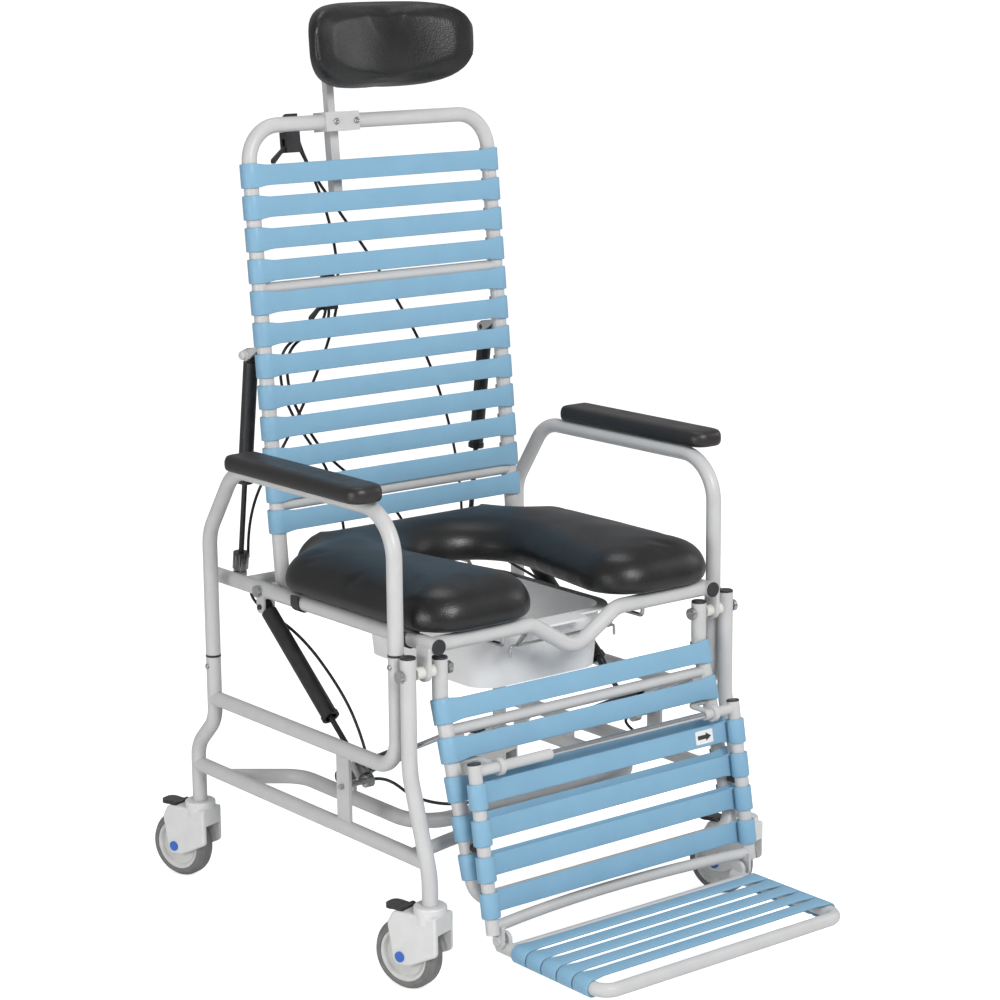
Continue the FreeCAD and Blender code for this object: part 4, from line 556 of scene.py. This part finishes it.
# %% Head cushion
head_low, head_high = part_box("headrest_cushion")
head_cushion = soft_copy("headrest_cushion", "head_cushion_cover", 0.005, 0.002)
head_keep, head_sag = head_high[2] - 0.03, 0.008
for vertex in head_cushion.data.vertices:
    share = max(0.0, min(1.0, (head_keep - vertex.co.z) / (head_keep - head_low[2])))
    vertex.co.z -= head_sag * share * share
swell(head_cushion, lambda co: co.y > head_high[1] - 0.012, 3.0, 0.006)
polish(head_cushion, "black_vinyl")
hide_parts("headrest_cushion")
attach(head_cushion, "headrest")
print("head cushion points:", len(head_cushion.data.vertices))

# %% Arm pads
for side in ("left", "right"):
    pad = soft_copy("arm_pad_" + side, "arm_pad_skin_" + side, 0.0025, soften=2)
    polish(pad, "pad_foam", 0)
    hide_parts("arm_pad_" + side)
    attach(pad, "arm_" + side)
print("arm pads done")

# %% [markdown]
# ## Control cables
# Thin black sheathed cables run from the two hand levers to the gas springs. Each route is a short list of
# points, drawn as a smooth NURBS line with a round section. They cross hinges, but the recline and tilt
# cables are baked in place on no body, and only the link cable rides on a body, the base.

# %% Cable routes
def cable(name, points, radius=0.00225):
    line = bpy.data.curves.new(name, "CURVE")
    line.dimensions = "3D"
    spline = line.splines.new("NURBS")
    spline.points.add(len(points) - 1)
    for target, point in zip(spline.points, points):
        target.co = (*point, 1)
    spline.order_u = 3
    spline.use_endpoint_u = True
    spline.resolution_u = 10
    line.bevel_depth = radius
    line.bevel_resolution = 3
    line.use_fill_caps = True
    shape = bpy.data.objects.new(name + "_line", line)
    bpy.context.collection.objects.link(shape)
    bpy.context.view_layer.update()
    mesh = bpy.data.meshes.new_from_object(shape.evaluated_get(bpy.context.evaluated_depsgraph_get()))
    bpy.data.objects.remove(shape)
    piece = bpy.data.objects.new(name, mesh)
    bpy.context.collection.objects.link(piece)
    for face in mesh.polygons:
        face.use_smooth = True
    mesh.materials.clear()
    mesh.materials.append(looks["cable_sheath"])
    return piece


# %% Recline cables
recline_left = cable("recline_cable_left", [
    on_back(-0.12375, 0.009, 0.634), on_back(-0.092, 0.02, 0.59), on_back(-0.058, 0.027, 0.49),
    on_back(-0.06, 0.03, 0.38), on_back(-0.148, 0.06, 0.205), on_chair(-0.20215, 0.5207, 0.57),
    on_chair(-0.20215, 0.5207, 0.491)])
recline_right = cable("recline_cable_right", [
    on_back(-0.12375, 0.009, 0.648), on_back(-0.1, 0.032, 0.612), on_back(-0.036, 0.038, 0.53),
    on_back(0.026, 0.03, 0.435), on_back(0.112, 0.036, 0.29), on_chair(0.20215, 0.5207, 0.57),
    on_chair(0.20215, 0.5207, 0.491)])
for piece in (recline_left, recline_right):
    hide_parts("recline_cables")
    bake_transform(piece)
print("recline cables done")

# %% Tilt cables
for index, (shift, end_x) in enumerate(((0.0, -0.06), (0.012, 0.06))):
    piece = cable("tilt_cable_%d" % (index + 1), [
        on_back(-0.099 + shift / 2, 0.009, 0.3952), on_back(-0.1 + shift, 0.016, 0.368),
        on_back(-0.168 + shift, 0.028, 0.352), on_back(-0.178 + shift, 0.028, 0.29),
        on_back(-0.15 + shift, 0.028, 0.225), on_back(-0.103 + shift, 0.028, 0.16),
        on_chair(end_x, 0.46855, 0.53), on_chair(end_x, 0.46855, 0.47255)])
    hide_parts("tilt_cables")
    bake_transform(piece)
for side in (-1, 1):
    piece = cable("tilt_cable_lower_%s" % ("left" if side < 0 else "right"), [
        on_chair(side * 0.06, 0.46855, 0.47), on_chair(side * 0.2325, 0.46855, 0.47),
        on_chair(side * 0.2325, 0.46855, 0.436), on_chair(side * 0.2325, 0.342, 0.416),
        on_chair(side * 0.2325, 0.235, 0.35), on_chair(side * 0.23415, 0.185, 0.292),
        on_chair(side * 0.23415, 0.172, 0.256)])
    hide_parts("lower_cables")
    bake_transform(piece)
link = cable("tilt_link_cable", [
    on_chair(-0.2427, 0.155, 0.242), on_chair(-0.2167, 0.155, 0.242), on_chair(-0.215, 0.085, 0.222),
    on_chair(-0.15, 0.05, 0.21), on_chair(0.15, 0.05, 0.21), on_chair(0.215, 0.085, 0.222),
    on_chair(0.2167, 0.155, 0.242), on_chair(0.2427, 0.155, 0.242)])
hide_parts("lower_cables")
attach(link, "base")
print("tilt cables done")

# %% [markdown]
# ## Fasteners and small fittings
# Screws, caps and nuts are turned parts: a short profile of distance and radius is carried round an axis. One
# mesh holds all the fasteners of one kind on one body, because they move together.

# %% Turned parts


def turned(name, spots, profile, look, body, sides=20):
    """Profile points (along, radius) carried round the axis at each spot, which is (place, axis)."""
    shell = bmesh.new()
    for place, axis in spots:
        along = Vector(axis).normalized()
        first = along.orthogonal().normalized()
        second = along.cross(first)
        rings = []
        for distance, radius in profile:
            middle = Vector(place) + along * distance
            if radius == 0:
                rings.append([shell.verts.new(middle)])
                continue
            turns = [2 * math.pi * i / sides for i in range(sides)]
            spokes = [first * math.cos(t) + second * math.sin(t) for t in turns]
            rings.append([shell.verts.new(middle + spoke * radius) for spoke in spokes])
        for low, high in zip(rings, rings[1:]):
            for i in range(sides):
                after = i + 1
                corners = [low[i % len(low)], low[after % len(low)]]
                corners += [high[after % len(high)], high[i % len(high)]]
                shell.faces.new(list(dict.fromkeys(corners)))
    bmesh.ops.recalc_face_normals(shell, faces=shell.faces)
    mesh = bpy.data.meshes.new(name)
    shell.to_mesh(mesh)
    shell.free()
    piece = bpy.data.objects.new(name, mesh)
    bpy.context.collection.objects.link(piece)
    rounding = piece.modifiers.new("broken_edge", "BEVEL")
    rounding.width = 0.0003
    rounding.segments = 2
    rounding.limit_method = "ANGLE"
    mesh.materials.append(looks[look])
    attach(piece, body)
    print(name, len(spots))
    return piece


# %% Screws, caps and nuts
forward = on_back(0, -1, 0) - on_back(0, 0, 0)
socket_screw = [(0, 0), (0, 0.0046), (0.0022, 0.0046), (0.0036, 0.0038), (0.0036, 0.002), (0.0016, 0.002),
                (0.0016, 0)]
turned("clamp_screws", [(on_back(x, -0.0141, 0.669), forward) for x in (-0.07, -0.034)], socket_screw, "zinc",
       "back")
cap_nut = [(0, 0), (0, 0.0085), (0.0016, 0.0085), (0.0018, 0.0066), (0.0064, 0.0066), (0.0092, 0.005),
           (0.0104, 0)]
turned("recline_pin_caps", [(on_back(side * 0.2269, 0.036, 0.341), (side, 0, 0)) for side in (-1, 1)],
       cap_nut, "white_tube", "back")
hex_nut = [(0, 0), (0, 0.0078), (0.0012, 0.0078), (0.0014, 0.0062), (0.0065, 0.0062),
           (0.0065, 0.0036), (0.011, 0.0034), (0.0116, 0)]
turned("legrest_pivot_nuts", [(on_chair(side * 0.2251, 0, 0.437), (-side, 0, 0)) for side in (-1, 1)],
       hex_nut, "zinc", "legrest", 6)

# %% [markdown]
# ## Direction arrow
# A small white sticker with an arrow shows which way the latch rod slides. It lies on the front of the foot
# panel's top band, so both outlines are drawn flat and given a hair of thickness.

# %% Direction arrow


def sticker(name, outline, front, thickness, look):
    mesh = bpy.data.meshes.new(name)
    near = [on_panel(x, front - thickness, -down) for x, down in outline]
    far = [on_panel(x, front, -down) for x, down in outline]
    count = len(outline)
    walls = [(i, (i + 1) % count, count + (i + 1) % count, count + i) for i in range(count)]
    faces = [tuple(range(count)), tuple(range(2 * count - 1, count - 1, -1))]
    mesh.from_pydata(near + far, [], faces + walls)
    piece = bpy.data.objects.new(name, mesh)
    bpy.context.collection.objects.link(piece)
    mesh.materials.append(looks[look])
    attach(piece, "panel")
    return piece


band_front = 0.0098
label_x, label_down = 0.183, 0.043
half_w, half_h, cut = 0.0165, 0.0098, 0.0015
corners = [(-half_w + cut, -half_h), (half_w - cut, -half_h), (half_w, -half_h + cut), (half_w, half_h - cut),
           (half_w - cut, half_h), (-half_w + cut, half_h), (-half_w, half_h - cut), (-half_w, -half_h + cut)]
film_t, ink_t = 0.0003, 0.0002
sticker("arrow_sticker", [(label_x + x, label_down + y) for x, y in corners], band_front, film_t,
        "sticker_white")
arrow = [(-0.0125, -0.003), (0.003, -0.003), (0.003, -0.0062), (0.013, 0), (0.003, 0.0062), (0.003, 0.003),
         (-0.0125, 0.003)]
sticker("arrow_mark", [(label_x + x, label_down + y) for x, y in arrow], band_front - film_t, ink_t,
        "arrow_ink")
print("arrow sticker done")
